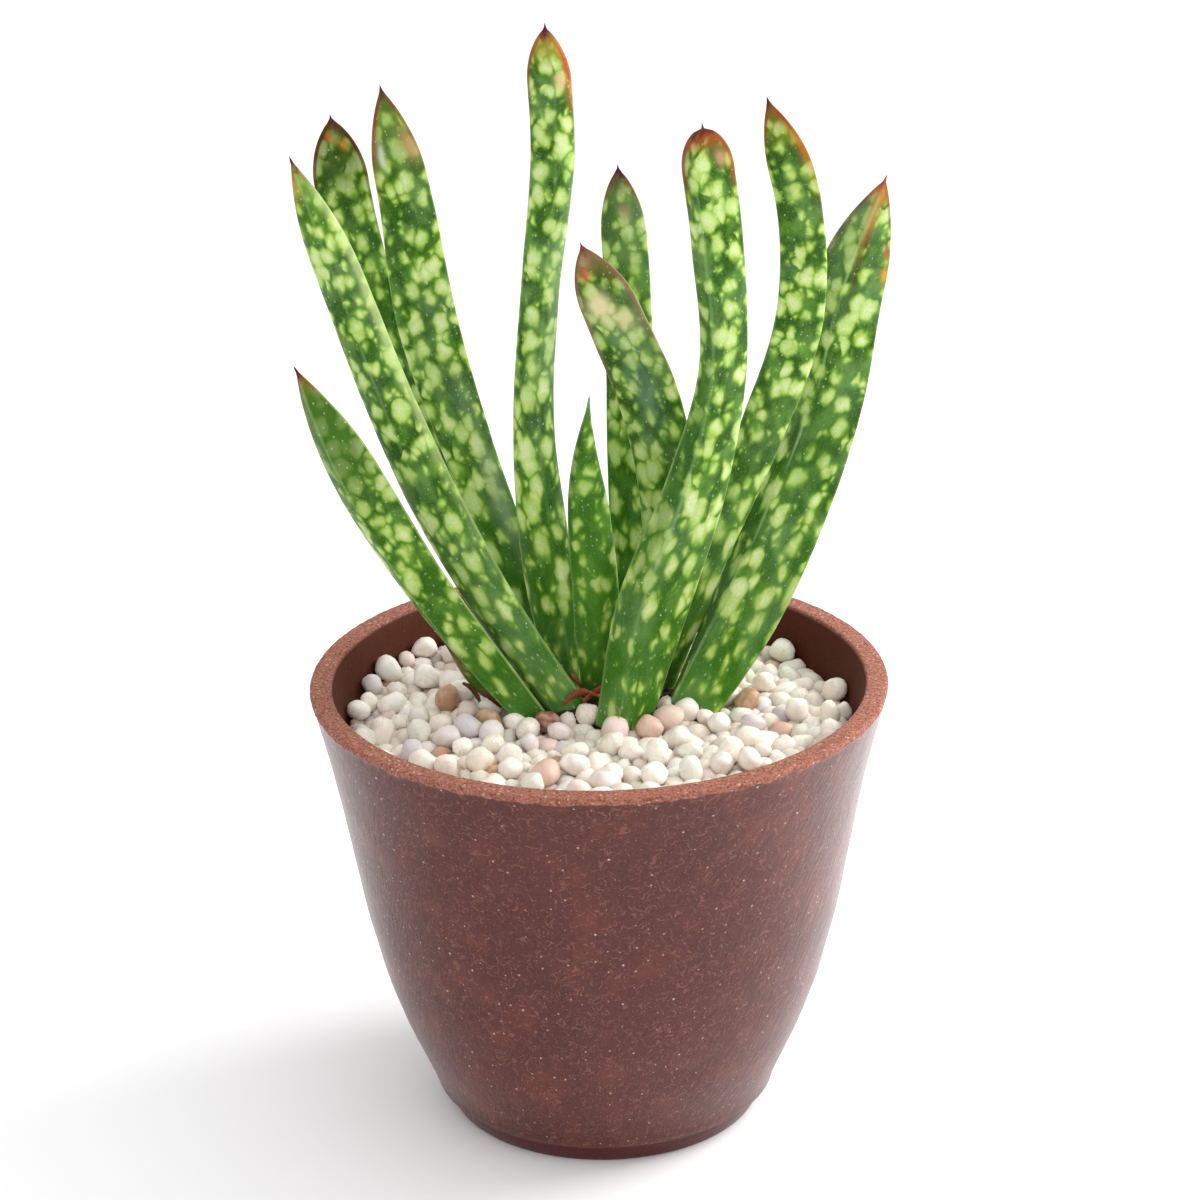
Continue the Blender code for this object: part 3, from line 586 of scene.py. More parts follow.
    # deep green with lighter streaks along the blade, then every layer over it
    colour = fromHex(skin["deep"])
    for share, paint in (
            (noises["streaks"][0], skin["light"]), (shares["mottle"], skin["mottle"]),
            (shares["young"], skin["young"]), (shares["stipple"], skin["stipple"]),
            (shares["wax"], skin["wax"]), (blotch, flesh),
            (patch["Alpha"], patch["Color"]), (dotMask, skin["dots"]), (shares["line"], skin["line"]),
            (shares["ridge"], skin["ridge"]), (rusted, look["rustTone"]), (shares["glow"], look["glow"]),
            (shares["point"], look["tip"])):
        paint = fromHex(paint) if isinstance(paint, str) else paint
        colour = addNode(tree, "ShaderNodeMix", {"data_type": "RGBA"},
                         {0: share, 6: colour, 7: paint}).outputs[2]
    relief = noises["pores"][0]
    for share, height in ((blotch, 0.35), (dotMask, 1.6)):
        relief = addNode(tree, "ShaderNodeMath", {"operation": "MULTIPLY_ADD"},
                         {0: share, 1: height, 2: relief}).outputs[0]
    bump = addNode(tree, "ShaderNodeBump", {}, {"Strength": skin["bump"], "Distance": skin["relief"] * mm,
                                                "Height": relief})
    for label, source in (("Base Color", colour), ("Roughness", shares["gloss"]),
                          ("Normal", bump.outputs[0])):
        tree.links.new(source, shader.inputs[label])
    shader.inputs["IOR"].default_value = skin["ior"]
    shader.inputs["Specular IOR Level"].default_value = skin["specular"]
    return material


# soft local colours on the side turned to the front, a few of them painted shade, shadow or highlight:
# along as a share from base to tip, across from -1 to 1, size in millimetres, colour, strength
leafPatches = dict(
    leaf_front_left_low=(
        (0.955, 0.1, (1.1, 1.6), "#d08a1c", 0.95),
        (0.93, -0.3, (2.5, 5), "#4f6f1c", 0.5),
        (0.82, 0.0, (6, 17), "#3c6416", 0.82),
    ),
    leaf_front_left_long=(
        # a pale band down the right margin: partly the margin's own pale colour, partly a painted highlight
        # on the lit side
        (0.75, 0.95, (0.8, 42), "#c8d890", 0.5),
        (0.962, 0, (4, 5), "#5f8a24", 0.5),
        (0.955, -0.7, (0.9, 3), "#b0781c", 0.7),
    ),
    leaf_back_left_outer=(
        (0.94, 0, (7, 10), "#2c3a0c", 0.6),
        (0.962, 0.35, (0.6, 0.9), "#d0641c", 0.9),
        (0.945, -0.4, (0.7, 1.1), "#c07a20", 0.8),
    ),
    leaf_back_left_inner=(
        (0.93, 0, (6, 9), "#668028", 0.4),
        (0.93, 0.93, (0.8, 10), "#8a4a24", 0.7),
        (0.895, -0.72, (1.5, 3.2), "#b0885e", 0.8),
        (0.885, 0.6, (0.6, 2.4), "#dfe8cf", 0.6),
        (0.3, -0.5, (1.6, 13), "#a9b59c", 0.42),
        (0.47, -0.5, (1.6, 7), "#9ab08c", 0.2),
    ),
    leaf_centre_tall=(
        (0.972, 0, (4, 4), "#9a9a34", 0.6),
        (0.94, 1.0, (0.9, 9), "#b84a18", 0.8),
        (0.93, -0.98, (0.4, 12), "#6a2420", 0.8),
        (0.915, 0.55, (0.9, 1.7), "#dca888", 0.65),
        (0.58, 0.8, (1.2, 20), "#8ba27c", 0.4),
    ),
    leaf_centre_short=(
        (0.5, 0, (6, 26), "#4f8f22", 0.22),
        # painted shadow: a dark strip down the left margin, where the tall centre leaf shades this one
        (0.75, -0.95, (0.5, 16), "#27481a", 0.6),
    ),
    leaf_back_right_straight=(
        (0.9, -0.15, (1.1, 1.9), "#b88a70", 0.6),
        (0.968, 0, (4, 3.5), "#5f5236", 0.6),
        (0.86, 0, (4, 9), "#90aa78", 0.25),
    ),
    leaf_back_right_wide=(
        (0.9, 1.0, (0.9, 19), "#a5786c", 0.75),
        (0.88, -1.0, (0.8, 17), "#9a7460", 0.7),
        (0.925, 0.4, (1.2, 1.5), "#d0604a", 0.85),
        (0.955, 0.1, (1.6, 2.0), "#c88a74", 0.6),
        (0.845, 0.25, (2.3, 3.0), "#f2e2b2", 0.95),
        (0.8, -0.35, (1.8, 2.2), "#e6d6a0", 0.7),
        (0.93, -0.6, (1.8, 5), "#6b6230", 0.6),
        (0.64, 0, (2.6, 9), "#7f9c88", 0.3),
    ),
    leaf_front_centre=(
        (0.995, 0, (6, 3.2), "#8f3a14", 0.9),
        (0.955, 1.0, (0.8, 7), "#a84a1c", 0.75),
        (0.955, -1.0, (0.8, 8), "#7a3216", 0.8),
        (0.945, 0.55, (0.9, 1.6), "#d89c78", 0.6),
        # painted shade: darker green on the left flank, the side turned away from the light
        (0.42, -0.75, (1.3, 36), "#2f5c18", 0.55),
        (0.30, -0.42, (0.35, 20), "#86a67c", 0.35),
    ),
    leaf_right_long=(
        (0.935, -0.92, (1.0, 11), "#b4641c", 0.85),
        (0.955, 0, (3.4, 5), "#8a8c28", 0.45),
        (0.975, -0.5, (1.5, 3), "#6a3020", 0.6),
    ),
    leaf_far_right=(
        (0.945, 0, (0.9, 8), "#c87c1c", 0.85),
        (0.91, -0.97, (0.8, 12), "#6a3044", 0.7),
        (0.89, -0.5, (2.6, 16), "#74946c", 0.32),
        # painted shade: a dark brown strip just beside the keel
        (0.85, 0.12, (0.5, 9), "#4a2c14", 0.5),
        (0.83, 0.93, (0.6, 1.6), "#dca034", 0.8),
        (0.87, 0.92, (0.7, 1.5), "#b06a4a", 0.7),
        (0.52, 0.2, (3, 8), "#3c6a1c", 0.4),
    ),
    leaf_old_stub=(
        (0.8, 0, (3, 6), "#7a5a30", 0.7),
    ),
)


def paintPatches(name, leaf, mesh):
    count = len(mesh.vertices)
    layers = []
    for label in ("bladeEdge", "bladeBody"):
        values = np.empty(count * 3)
        mesh.attributes[label].data.foreach_get("vector", values)
        layers.append(values.reshape(-1, 3))
    edge, body = layers
    halfWidth = np.maximum(body[:, 2], 0.2)
    across = edge[:, 0] - halfWidth
    isFront = body[:, 0] < backFold - 0.1
    length = body[:, 1].max()
    colour = np.zeros((count, 4))
    turnedAway = 90 < leaf["turn"][0] < 270
    for place, aside, size, code, strength in leafPatches.get(name, ()):
        dx = (across - aside * halfWidth) / size[0]
        dy = (body[:, 1] - place * length) / size[1]
        weight = np.clip(1.4 * np.exp(-(dx ** 2 + dy ** 2)), 0, 1) * strength
        weight = np.where(isFront != turnedAway, weight, 0)
        total = colour[:, 3] + weight * (1 - colour[:, 3])
        share = np.where(total > 1e-6, weight / np.maximum(total, 1e-6), 0)[:, None]
        colour[:, :3] = colour[:, :3] * (1 - share) + np.array(fromHex(code)[:3]) * share
        colour[:, 3] = total
    vertexAttribute(mesh, "bladePatch", "FLOAT_COLOR", colour)


def buildLeaves():
    pieces = []
    for number, (name, leaf) in enumerate(leaves.items()):
        blade = name.replace("leaf_", "blade_")
        mesh = bladeMesh(blade, leaf, number)
        paintPatches(name, leaf, mesh)
        material = gasteriaSkin("gasteriaSkin_" + name[5:], leafLooks[name])
        pieces.append(addPiece(blade, mesh, material, (name,)))
    return pieces


blades = buildLeaves()
print("leaves lofted:", len(blades))

# raised white dots on the skin, as small real domes: more of them low down and in clusters
skinDots = dict(perSquareMetre=30000.0, radius=0.13, sizes=(0.45, 1.35, 9), spin=0.0, spinSeed=0, seed=4,
                subdivisions=2, smooth=True, clusters=7.0, colour="#cfe0c4")


def buildSkinDots():
    material, tree, shader = newMaterial("whiteWaxTubercle")  # waxy white dots that catch the light
    shader.inputs["Base Color"].default_value = fromHex(skinDots["colour"])
    shader.inputs["Roughness"].default_value = 0.35
    bm = bmesh.new()
    for blade in blades:
        bm.from_mesh(blade.data)
    joined = bpy.data.meshes.new("allBlades")
    bm.to_mesh(joined)
    bm.free()
    spots = np.empty(len(joined.vertices) * 3)
    joined.vertices.foreach_get("co", spots)
    spots = spots.reshape(-1, 3) / mm
    low = np.clip((150 - spots[:, 2]) / 60, 0, 1)
    clusters = np.clip(lumps(spots, skinDots["clusters"], 3) * 2.2 - 0.25, 0, 1)
    vertexAttribute(joined, "chance", "FLOAT", clusters * (0.45 + 0.55 * low) + 0.12 * low)
    return scatterBalls("skinDots", joined, skinDots, material)


dots = buildSkinDots()
print("skin dots:", len(dots.data.polygons), "faces")

# pot, in millimetres: the outer wall as height and radius, the same as the solid's; rimEdge as distance in
# from the rim and height, innerEdge as distance out from the inner wall, height and zone, and wallEnd and
# footEdge as radius and height
potShape = dict(
    wall=((96, 60.0), (88, 58.0), (80, 56.1), (71, 54.3), (62, 52.7), (46, 49.8), (32, 46.4), (20, 42.3),
          (10, 37.9), (4.6, 35.7)),
    rimEdge=((0.45, 95.93), (0.22, 95.75), (0.1, 95.4), (0.12, 95.05)),
    innerEdge=((0.02, 95.3, 1.6), (0.12, 95.72, 1.3), (0.28, 95.93, 1.1)),
    wallEnd=((35.75, 4.85), (35.45, 4.5)),
    footEdge=((34.75, 4.35), (34.5, 4.1), (34.3, 3.2), (33.9, 2.2), (33.4, 1.2), (33.0, 0.4), (32.6, 0.06),
              (32.1, 0)),
    thickness=4.7, footRadius=32.7, footRing=6.0, recess=1.5, floorTop=5.6, drain=5.0, steps=384,
    rimBand=1.25,
    fray=0.55, dents=0.11, grit=0.045)


def wallRadius(height, inset=0.0):
    heights, radii = zip(*potShape["wall"][::-1])
    return np.interp(height, heights, radii) - inset


def roundedWall(heights):  # the wall's radius with the corners between its straight stretches rounded away
    return sum(wallRadius(np.clip(heights + shift, 4.6, 96)) for shift in (-3, -1.5, 0, 1.5, 3)) / 5


def potProfile():  # radius, height and zone round the whole section: 0 outside, 1 rim, 2 inside, 3 foot
    shape = potShape
    rimTop, rim = shape["wall"][0]
    inner = rim - shape["thickness"]
    rows = [(radius, rimTop, 1) for radius in np.linspace(inner + 0.5, rim - 0.75, 7)]
    rows += [(rim - away, height, 1) for away, height in shape["rimEdge"]]
    rows += [(rim - 0.2, rimTop - shape["rimBand"], 1), (rim - 0.42, rimTop - 0.4 - shape["rimBand"], 0)]
    outer = np.linspace(94, 5.2, 82)
    rows += [(radius, height, 0) for radius, height in zip(roundedWall(outer), outer)]
    rows += [row + (0,) for row in shape["wallEnd"]] + [row + (3,) for row in shape["footEdge"]]
    ringInner = shape["footRadius"] - shape["footRing"]
    rows += [(radius, 0, 3) for radius in np.linspace(shape["footRadius"] - 2, ringInner, 4)]
    rows += [(ringInner - 0.5, 0.7, 3), (ringInner - 1, shape["recess"], 3)]
    rows += [(radius, shape["recess"], 3) for radius in np.linspace(22, shape["drain"], 6)]
    rows += [(shape["drain"], height, 2) for height in (2.5, 4.2, shape["floorTop"])]
    rows += [(radius, shape["floorTop"], 2) for radius in np.linspace(9, 29, 5)]
    up = np.linspace(8.5, 94.6, 46)
    rows += [(radius, height, 2) for radius, height in zip(roundedWall(up) - shape["thickness"], up)]
    rows += [(inner + away, height, zone) for away, height, zone in shape["innerEdge"]]
    return np.array(rows, float)


def buildPot():
    profile = potProfile()
    steps, rows = potShape["steps"], len(profile)
    turn = 2 * math.pi * np.arange(steps) / steps + math.pi / 2  # the seam of the map is at the back
    radius, height, zone = (np.repeat(profile[:, k:k + 1], steps, 1) for k in range(3))
    flat = np.stack([radius * np.cos(turn), radius * np.sin(turn), height], -1).reshape(-1, 3)
    dents = (lumps(flat, 13.0, 2) + 0.5 * lumps(flat, 5.0, 3)).reshape(rows, steps) * potShape["dents"]
    grit = lumps(flat, 1.1, 5).reshape(rows, steps)
    rimShare = np.clip(1 - np.abs(zone - 1), 0, 1)
    isWall = (zone < 0.5) & (height > 6)
    circle = np.stack([np.cos(turn) * 60, np.sin(turn) * 60, turn * 0], -1)
    fray = lumps(circle, 1.6, 8) + 0.6 * lumps(circle, 5.0, 9)
    lip = np.exp(-((height - (96 - potShape["rimBand"])) / 0.5) ** 2) * (radius > 59)
    radius = (radius + np.where(isWall, dents, 0)
              + grit * potShape["grit"] * (1 + 1.6 * rimShare) * (height > 3))
    height = (height + lip * fray[None, :] * potShape["fray"]
              + np.where(rimShare > 0.9, grit * 0.07, 0) * (radius < 59.8))
    down = np.concatenate([[0], np.cumsum(np.linalg.norm(np.diff(profile[:, :2], axis=0), axis=1))])
    down = np.append(down, down[-1] + 1)
    faces, corners = [], []
    for row in range(rows):
        below = (row + 1) % rows
        for step in range(steps):
            after = (step + 1) % steps
            faces.append((row * steps + step, below * steps + step, below * steps + after,
                          row * steps + after))
            left, right = ((turn[0] + 2 * math.pi * k / steps) * 50 for k in (step, step + 1))
            corners += [(left, down[row]), (left, down[row + 1]), (right, down[row + 1]), (right, down[row])]
    mesh = newMesh("fibrePot", np.stack([radius * np.cos(turn), radius * np.sin(turn), height],
                                        -1).reshape(-1, 3), faces)
    mesh.uv_layers.new(name="wallMap").data.foreach_set("uv", np.array(corners).ravel())
    vertexAttribute(mesh, "potZone", "FLOAT", zone)
    return addPiece("fibrePot", mesh, fibreComposite(), ("pot",))


# the composite's patterns in millimetres: each noise as scale, detail and roughness, specks as spacing,
# share of the cells, size, seed and strength, threads as heading in degrees, spacing, reach and seed
composite = dict(
    noises=dict(cloud=(0.055, 3.0, 0.5), rust=(0.12, 4.0, 0.5), grain=(1.9, 3.0, 0.7), rim=(1.7, 4.0, 0.75)),
    dust=(0.9, 0.5, 0.16, 1, 0.35), flecks=(2.6, 0.42, 0.24, 3, 0.66), rimSpecks=(1.3, 0.45, 0.26, 4, 0.6),
    threads=((35, 2.4, 0.42, 2), (-52, 2.1, 0.40, 5)), threadStrength=0.26, threadLength=5.5, threadSway=3.2,
    deep="#380e0c", light="#501814", rust="#783422", grain="#6e3c32", dustTone="#b07a66",
    threadTone="#a86a58",
    fleckWarm="#c4704a", fleckPale="#ddd2cc", rimDeep="#68362a", rimLight="#b67b68", rimSpeck="#d9b8a4",
    inside="#4a1e08", foot="#480803", satin=0.33, dry=0.78, glaze=0.28, glazeRough=0.2, bump=0.6, relief=0.22,
    ior=1.5, specular=0.2, comb=-24)


def speckLayer(tree, place, spacing, share, size, seed, strength):  # round specks: mask and random tone
    shifted = addNode(tree, "ShaderNodeVectorMath", {"operation": "ADD"},
                      {0: place, 1: (seed * 7.7, seed * 3.1, 0)})
    grid = addNode(tree, "ShaderNodeVectorMath", {"operation": "SCALE"},
                   {0: shifted.outputs[0], "Scale": 1 / spacing})
    cells = addNode(tree, "ShaderNodeTexVoronoi", {"voronoi_dimensions": "2D"},
                    {"Vector": grid.outputs[0], "Scale": 1.0})
    parts = addNode(tree, "ShaderNodeSeparateColor", {}, {0: cells.outputs["Color"]})
    reach = addNode(tree, "ShaderNodeMapRange", {},
                    {0: parts.outputs[0], 1: 1 - share, 2: 1.0, 4: size / spacing})
    away = addNode(tree, "ShaderNodeMath", {"operation": "SUBTRACT"},
                   {0: reach.outputs[0], 1: cells.outputs["Distance"]})
    mask = addNode(tree, "ShaderNodeMapRange", {"interpolation_type": "SMOOTHSTEP"},
                   {0: away.outputs[0], 1: -0.03, 2: 0.04, 4: strength})
    return mask.outputs[0], parts.outputs[1]


def threadLayer(tree, place, heading, spacing, size, seed):  # short curved threads lying near one heading
    sway = addNode(tree, "ShaderNodeTexNoise", {"noise_dimensions": "2D"},
                   {"Vector": place, "Scale": 0.35, "Detail": 1.0})
    swayed = addNode(tree, "ShaderNodeVectorMath", {"operation": "MULTIPLY_ADD"},
                     {0: sway.outputs["Color"], 1: (composite["threadSway"], composite["threadSway"], 0),
                      2: (seed * 11.3, seed * 4.9, 0)})
    moved = addNode(tree, "ShaderNodeVectorMath", {"operation": "ADD"}, {0: place, 1: swayed.outputs[0]})
    turned = addNode(tree, "ShaderNodeVectorRotate", {"rotation_type": "Z_AXIS"},
                     {"Vector": moved.outputs[0], "Angle": math.radians(heading)})
    grid = addNode(tree, "ShaderNodeVectorMath", {"operation": "MULTIPLY"},
                   {0: turned.outputs[0], 1: (1 / spacing, composite["threadLength"] / spacing, 1)})
    cells = addNode(tree, "ShaderNodeTexVoronoi", {"voronoi_dimensions": "2D"},
                    {"Vector": grid.outputs[0], "Scale": 1.0})
    parts = addNode(tree, "ShaderNodeSeparateColor", {}, {0: cells.outputs["Color"]})
    reach = addNode(tree, "ShaderNodeMapRange", {}, {0: parts.outputs[2], 1: 0.62, 2: 1.0, 3: -0.05, 4: size})
    away = addNode(tree, "ShaderNodeMath", {"operation": "SUBTRACT"},
                   {0: reach.outputs[0], 1: cells.outputs["Distance"]})
    return addNode(tree, "ShaderNodeMapRange", {"interpolation_type": "SMOOTHSTEP"},
                   {0: away.outputs[0], 1: -0.05, 2: 0.08, 4: composite["threadStrength"]}).outputs[0]


def fibreComposite():  # plant-fibre filled resin, moulded and satin: flecks, threads and a faint brushed skin
    material, tree, shader = newMaterial("fibreFilledComposite")
    look = composite
    uv = addNode(tree, "ShaderNodeUVMap", {"uv_map": "wallMap"}).outputs[0]
    solid = solidPlace(tree)
    zone = addNode(tree, "ShaderNodeAttribute", {"attribute_name": "potZone"}).outputs["Fac"]
    noises = {label: addNode(tree, "ShaderNodeTexNoise", {},
                             {"Vector": solid, "Scale": scale, "Detail": detail,
                                                              "Roughness": rough}).outputs[0]
              for label, (scale, detail, rough) in look["noises"].items()}
    fromRim = addNode(tree, "ShaderNodeMath", {"operation": "SUBTRACT"}, {0: zone, 1: 1.0})
    fromRim = addNode(tree, "ShaderNodeMath", {"operation": "ABSOLUTE"}, {0: fromRim.outputs[0]}).outputs[0]
    isInside = addNode(tree, "ShaderNodeMath", {"operation": "COMPARE"},
                       {0: zone, 1: 2.0, 2: 0.35}).outputs[0]
    isFoot = addNode(tree, "ShaderNodeMath", {"operation": "GREATER_THAN"}, {0: zone, 1: 2.5}).outputs[0]
    shares = {label: addNode(tree, "ShaderNodeMapRange", {},
                             {0: source, 1: low, 2: high, 3: start, 4: end}).outputs[0]
              for label, source, low, high, start, end in (
        ("rust", noises["rust"], 0.5, 0.75, 0.0, 0.5), ("grain", noises["grain"], 0.35, 0.75, 0.0, 0.45),
        ("rim", noises["rim"], 0.36, 0.66, 0.0, 1.0), ("isRim", fromRim, 0.3, 0.6, 1.0, 0.0),
        ("inside", isInside, 0.0, 1.0, 0.0, 0.92), ("foot", isFoot, 0.0, 1.0, 0.0, 0.9))}
    threads = addNode(tree, "ShaderNodeMath", {"operation": "MAXIMUM"}, {
        k: threadLayer(tree, uv, *look["threads"][k]) for k in range(2)}).outputs[0]
    dust, flecks, rimSpecks = (speckLayer(tree, uv, *look[label])
                               for label in ("dust", "flecks", "rimSpecks"))
    fleckTint = addNode(tree, "ShaderNodeMix", {"data_type": "RGBA"},
                        {0: flecks[1], 6: fromHex(look["fleckWarm"]),
                         7: fromHex(look["fleckPale"])}).outputs[2]

    # the rim is the bare cut edge: lighter, grainy and dry
    layers = ((look["rimDeep"], ((shares["rim"], look["rimLight"]), (rimSpecks[0], look["rimSpeck"]))),
              (look["deep"], ((noises["cloud"], look["light"]), (shares["rust"], look["rust"]),
                              (shares["grain"], look["grain"]), (dust[0], look["dustTone"]),
                              (threads, look["threadTone"]), (flecks[0], fleckTint),
                              (shares["inside"], look["inside"]), (shares["foot"], look["foot"]),
                              (shares["isRim"], "rim"))))
    colour = None
    for start, coats in layers:
        rimmed, colour = colour, fromHex(start)
        for share, paint in coats:
            if isinstance(paint, str):
                paint = rimmed if paint == "rim" else fromHex(paint)
            colour = addNode(tree, "ShaderNodeMix", {"data_type": "RGBA"},
                             {0: share, 6: colour, 7: paint}).outputs[2]

    dull = addNode(tree, "ShaderNodeMath", {"operation": "MAXIMUM"},
                   {0: shares["isRim"], 1: isInside}).outputs[0]
    rough, glaze = [addNode(tree, "ShaderNodeMapRange", {}, {0: dull, 3: start, 4: end}).outputs[0]
                    for start, end in ((look["satin"], look["dry"]), (look["glaze"], 0.0))]
    turned = addNode(tree, "ShaderNodeVectorRotate", {"rotation_type": "Z_AXIS"},
                     {"Vector": uv, "Angle": math.radians(look["comb"])})
    combed = addNode(tree, "ShaderNodeVectorMath", {"operation": "MULTIPLY"},
                     {0: turned.outputs[0], 1: (1.0, 0.24, 1)})
    relief = addNode(tree, "ShaderNodeTexNoise", {"noise_dimensions": "2D"},
                     {"Vector": combed.outputs[0], "Scale": 0.9, "Detail": 3.0, "Roughness": 0.6}).outputs[0]
    for source, height in ((noises["grain"], 0.35), (shares["isRim"], noises["rim"])):
        relief = addNode(tree, "ShaderNodeMath", {"operation": "MULTIPLY_ADD"},
                         {0: source, 1: height, 2: relief}).outputs[0]
    bump = addNode(tree, "ShaderNodeBump", {}, {"Strength": look["bump"], "Distance": look["relief"] * mm,
                                                "Height": relief})
    for label, source in (("Base Color", colour), ("Roughness", rough), ("Coat Weight", glaze),
                          ("Normal", bump.outputs[0])):
        tree.links.new(source, shader.inputs[label])
    for label, value in (("Coat Roughness", look["glazeRough"]), ("IOR", look["ior"]),
                         ("Specular IOR Level", look["specular"])):
        shader.inputs[label].default_value = value
    return material


pot = buildPot()
print("pot turned:", len(pot.data.polygons), "faces")

# pebbles: packed by letting them fall and push apart, then placed by a node tree; lengths in millimetres
pebbleBed = dict(
    count=790, small=1.85, large=2.95, flat=0.86, floor=82.5, wallGap=0.1, rounds=150, seed=6, spread=52,
    dropFrom=(86, 104), sink=(0.5, 0.18), quickShare=0.6, leafReach=1.9,
    clearing=dict(centre=(1.0, 9.0), across=17.0, deep=9.0), shapes=16, size=0.93)
# river-worn quartz from white to jasper, as share of the scale and colour, then what lies in and on it
quartz = dict(
    stops=((0.0, "#f7f2e8"), (0.14, "#f1e7d6"), (0.26, "#faf6ee"), (0.38, "#eee4d9"), (0.48, "#e4e5d9"),
           (0.56, "#f5eee3"), (0.64, "#eddfd3"), (0.71, "#e1dadb"), (0.77, "#c6bfc8"), (0.81, "#e6cbbf"),
           (0.86, "#cfa08e"), (0.90, "#b98a66"), (0.94, "#a07a4e"), (0.98, "#8c4c38")),
    # after vein come two heights and a darkest share: painted shade on the lower stones, so the gaps between
    # pebbles read darker
    plainTo=0.72, rareFrom=0.93, rareRange=0.18, cloud="#dfcbb8", vein="#b9a39c", gapShade=(83.5, 87.8, 0.66),
    rough=0.48, ior=1.46, bump=0.35, relief=0.2)
# the few stones that stand out: place in millimetres and share of the scale
toneSpots = ((-23.0, -1.5, 0.93), (-10.5, -3.8, 0.99), (-28, -3.5, 0.80), (10.5, -7.5, 0.84),
             (14.0, -7.0, 0.81), (27.5, 5.0, 0.91), (36.5, 1.5, 0.77), (3.2, -8.0, 0.80), (-33, 8, 0.90),
             (-31, -8, 0.74))


def leafObstacles():  # spheres that fill the blades where they pass through the pebbles
    spots = []
    for leaf in leaves.values():
        places = np.linspace(0, 0.2, 22)
        centre, ahead, facing, across = bladeFrame(leaf, places)
        halfWidth = 0.5 * smoothPath(np.array(leaf["spine"], float)[:, 3:], places)[:, 0]
        for k in range(len(places)):
            below = centre[k] - ahead[k] * 0.5
            for share in np.linspace(-1, 1, 7):
                spots.append(below + across[k] * share * max(halfWidth[k] - 1.6, 0.3))
    spots = np.array(spots)
    return spots[spots[:, 2] < 98]


def packPebbles():
    bed, hole = pebbleBed, pebbleBed["clearing"]
    dice = np.random.default_rng(bed["seed"])
    count = bed["count"]
    radius = bed["small"] + (bed["large"] - bed["small"]) * dice.random(count) ** 1.1
    turn, far = dice.uniform(0, 2 * math.pi, count), bed["spread"] * np.sqrt(dice.uniform(0.02, 1, count))
    spot = np.stack([far * np.cos(turn), far * np.sin(turn), dice.uniform(*bed["dropFrom"], count)], 1)
    squash = np.array([1, 1, 1 / bed["flat"]])  # heights are stretched so that the pebbles count as balls
    blocks = leafObstacles() * squash
    spot = spot * squash
    low = bed["floor"] / bed["flat"]
    for step in range(bed["rounds"]):
        spot[:, 2] -= bed["sink"][0] if step < bed["rounds"] * bed["quickShare"] else bed["sink"][1]
        for others, reach, share in ((spot, radius, 0.5),
                                     (blocks, np.full(len(blocks), bed["leafReach"]), 1.0)):
            gap = spot[:, None, :] - others[None, :, :]
            far = np.sqrt((gap ** 2).sum(2)) + 1e-6
            close = radius[:, None] + reach[None, :] - far
            if others is spot:
                np.fill_diagonal(close, -1)
            push = np.where(close > 0, close * share * 0.9 / far, 0)
            spot = spot + (gap * push[..., None]).sum(1) / np.maximum(1, 0.45 * (push > 0).sum(1))[:, None]
        dx = (spot[:, 0] - hole["centre"][0]) / (hole["across"] + radius * 0.7)
        dy = (spot[:, 1] - hole["centre"][1]) / (hole["deep"] + radius * 0.7)
        inside = np.sqrt(dx ** 2 + dy ** 2) + 1e-6
        grow = np.where(inside < 1, 1 / inside, 1)
        for k in range(2):
            spot[:, k] = hole["centre"][k] + (spot[:, k] - hole["centre"][k]) * grow
        limit = (wallRadius(np.clip(spot[:, 2] * bed["flat"], 5, 96), potShape["thickness"])
                 - radius - bed["wallGap"])
        out = np.hypot(spot[:, 0], spot[:, 1])
        spot[:, :2] *= np.where(out > limit, limit / out, 1)[:, None]
        spot[:, 2] = np.maximum(spot[:, 2], low + radius)
    return spot / squash, radius, dice


def pebbleShape(number):  # a rounded lump of a few dozen faces with worn facets
    dice = random.Random(100 + number)
    bm = bmesh.new()
    bmesh.ops.create_cube(bm, size=2)
    bmesh.ops.subdivide_edges(bm, edges=bm.edges, cuts=3, use_grid_fill=True)
    axes = (dice.uniform(1.05, 1.38), dice.uniform(0.94, 1.1), dice.uniform(0.84, 0.98))
    facets = [(Vector([dice.gauss(0, 1) for k in range(3)]).normalized(), dice.uniform(0.82, 1.0))
              for k in range(4)]
    shift = Vector((number * 3.7, 1.3, 8.8))
    for vert in bm.verts:
        way = vert.co.normalized()
        spot = way * (1.0 + 0.24 * noise.noise(way * 1.1 + shift) + 0.03 * noise.noise(way * 2.4 + shift))
        for normal, depth in facets:
            over = spot.dot(normal) - depth
            if over > 0:
                spot -= normal * over * 0.5
        if number % 5 == 2:  # some have a groove round them
            spot *= 1 - 0.10 * math.exp(-((spot.x + 0.15) / 0.16) ** 2)
        vert.co = Vector([value * axis for value, axis in zip(spot, axes)]) * mm
    bmesh.ops.recalc_face_normals(bm, faces=bm.faces)
    mesh = bpy.data.meshes.new(f"pebbleShape{number:02d}")
    bm.to_mesh(mesh)
    bm.free()
    return mesh


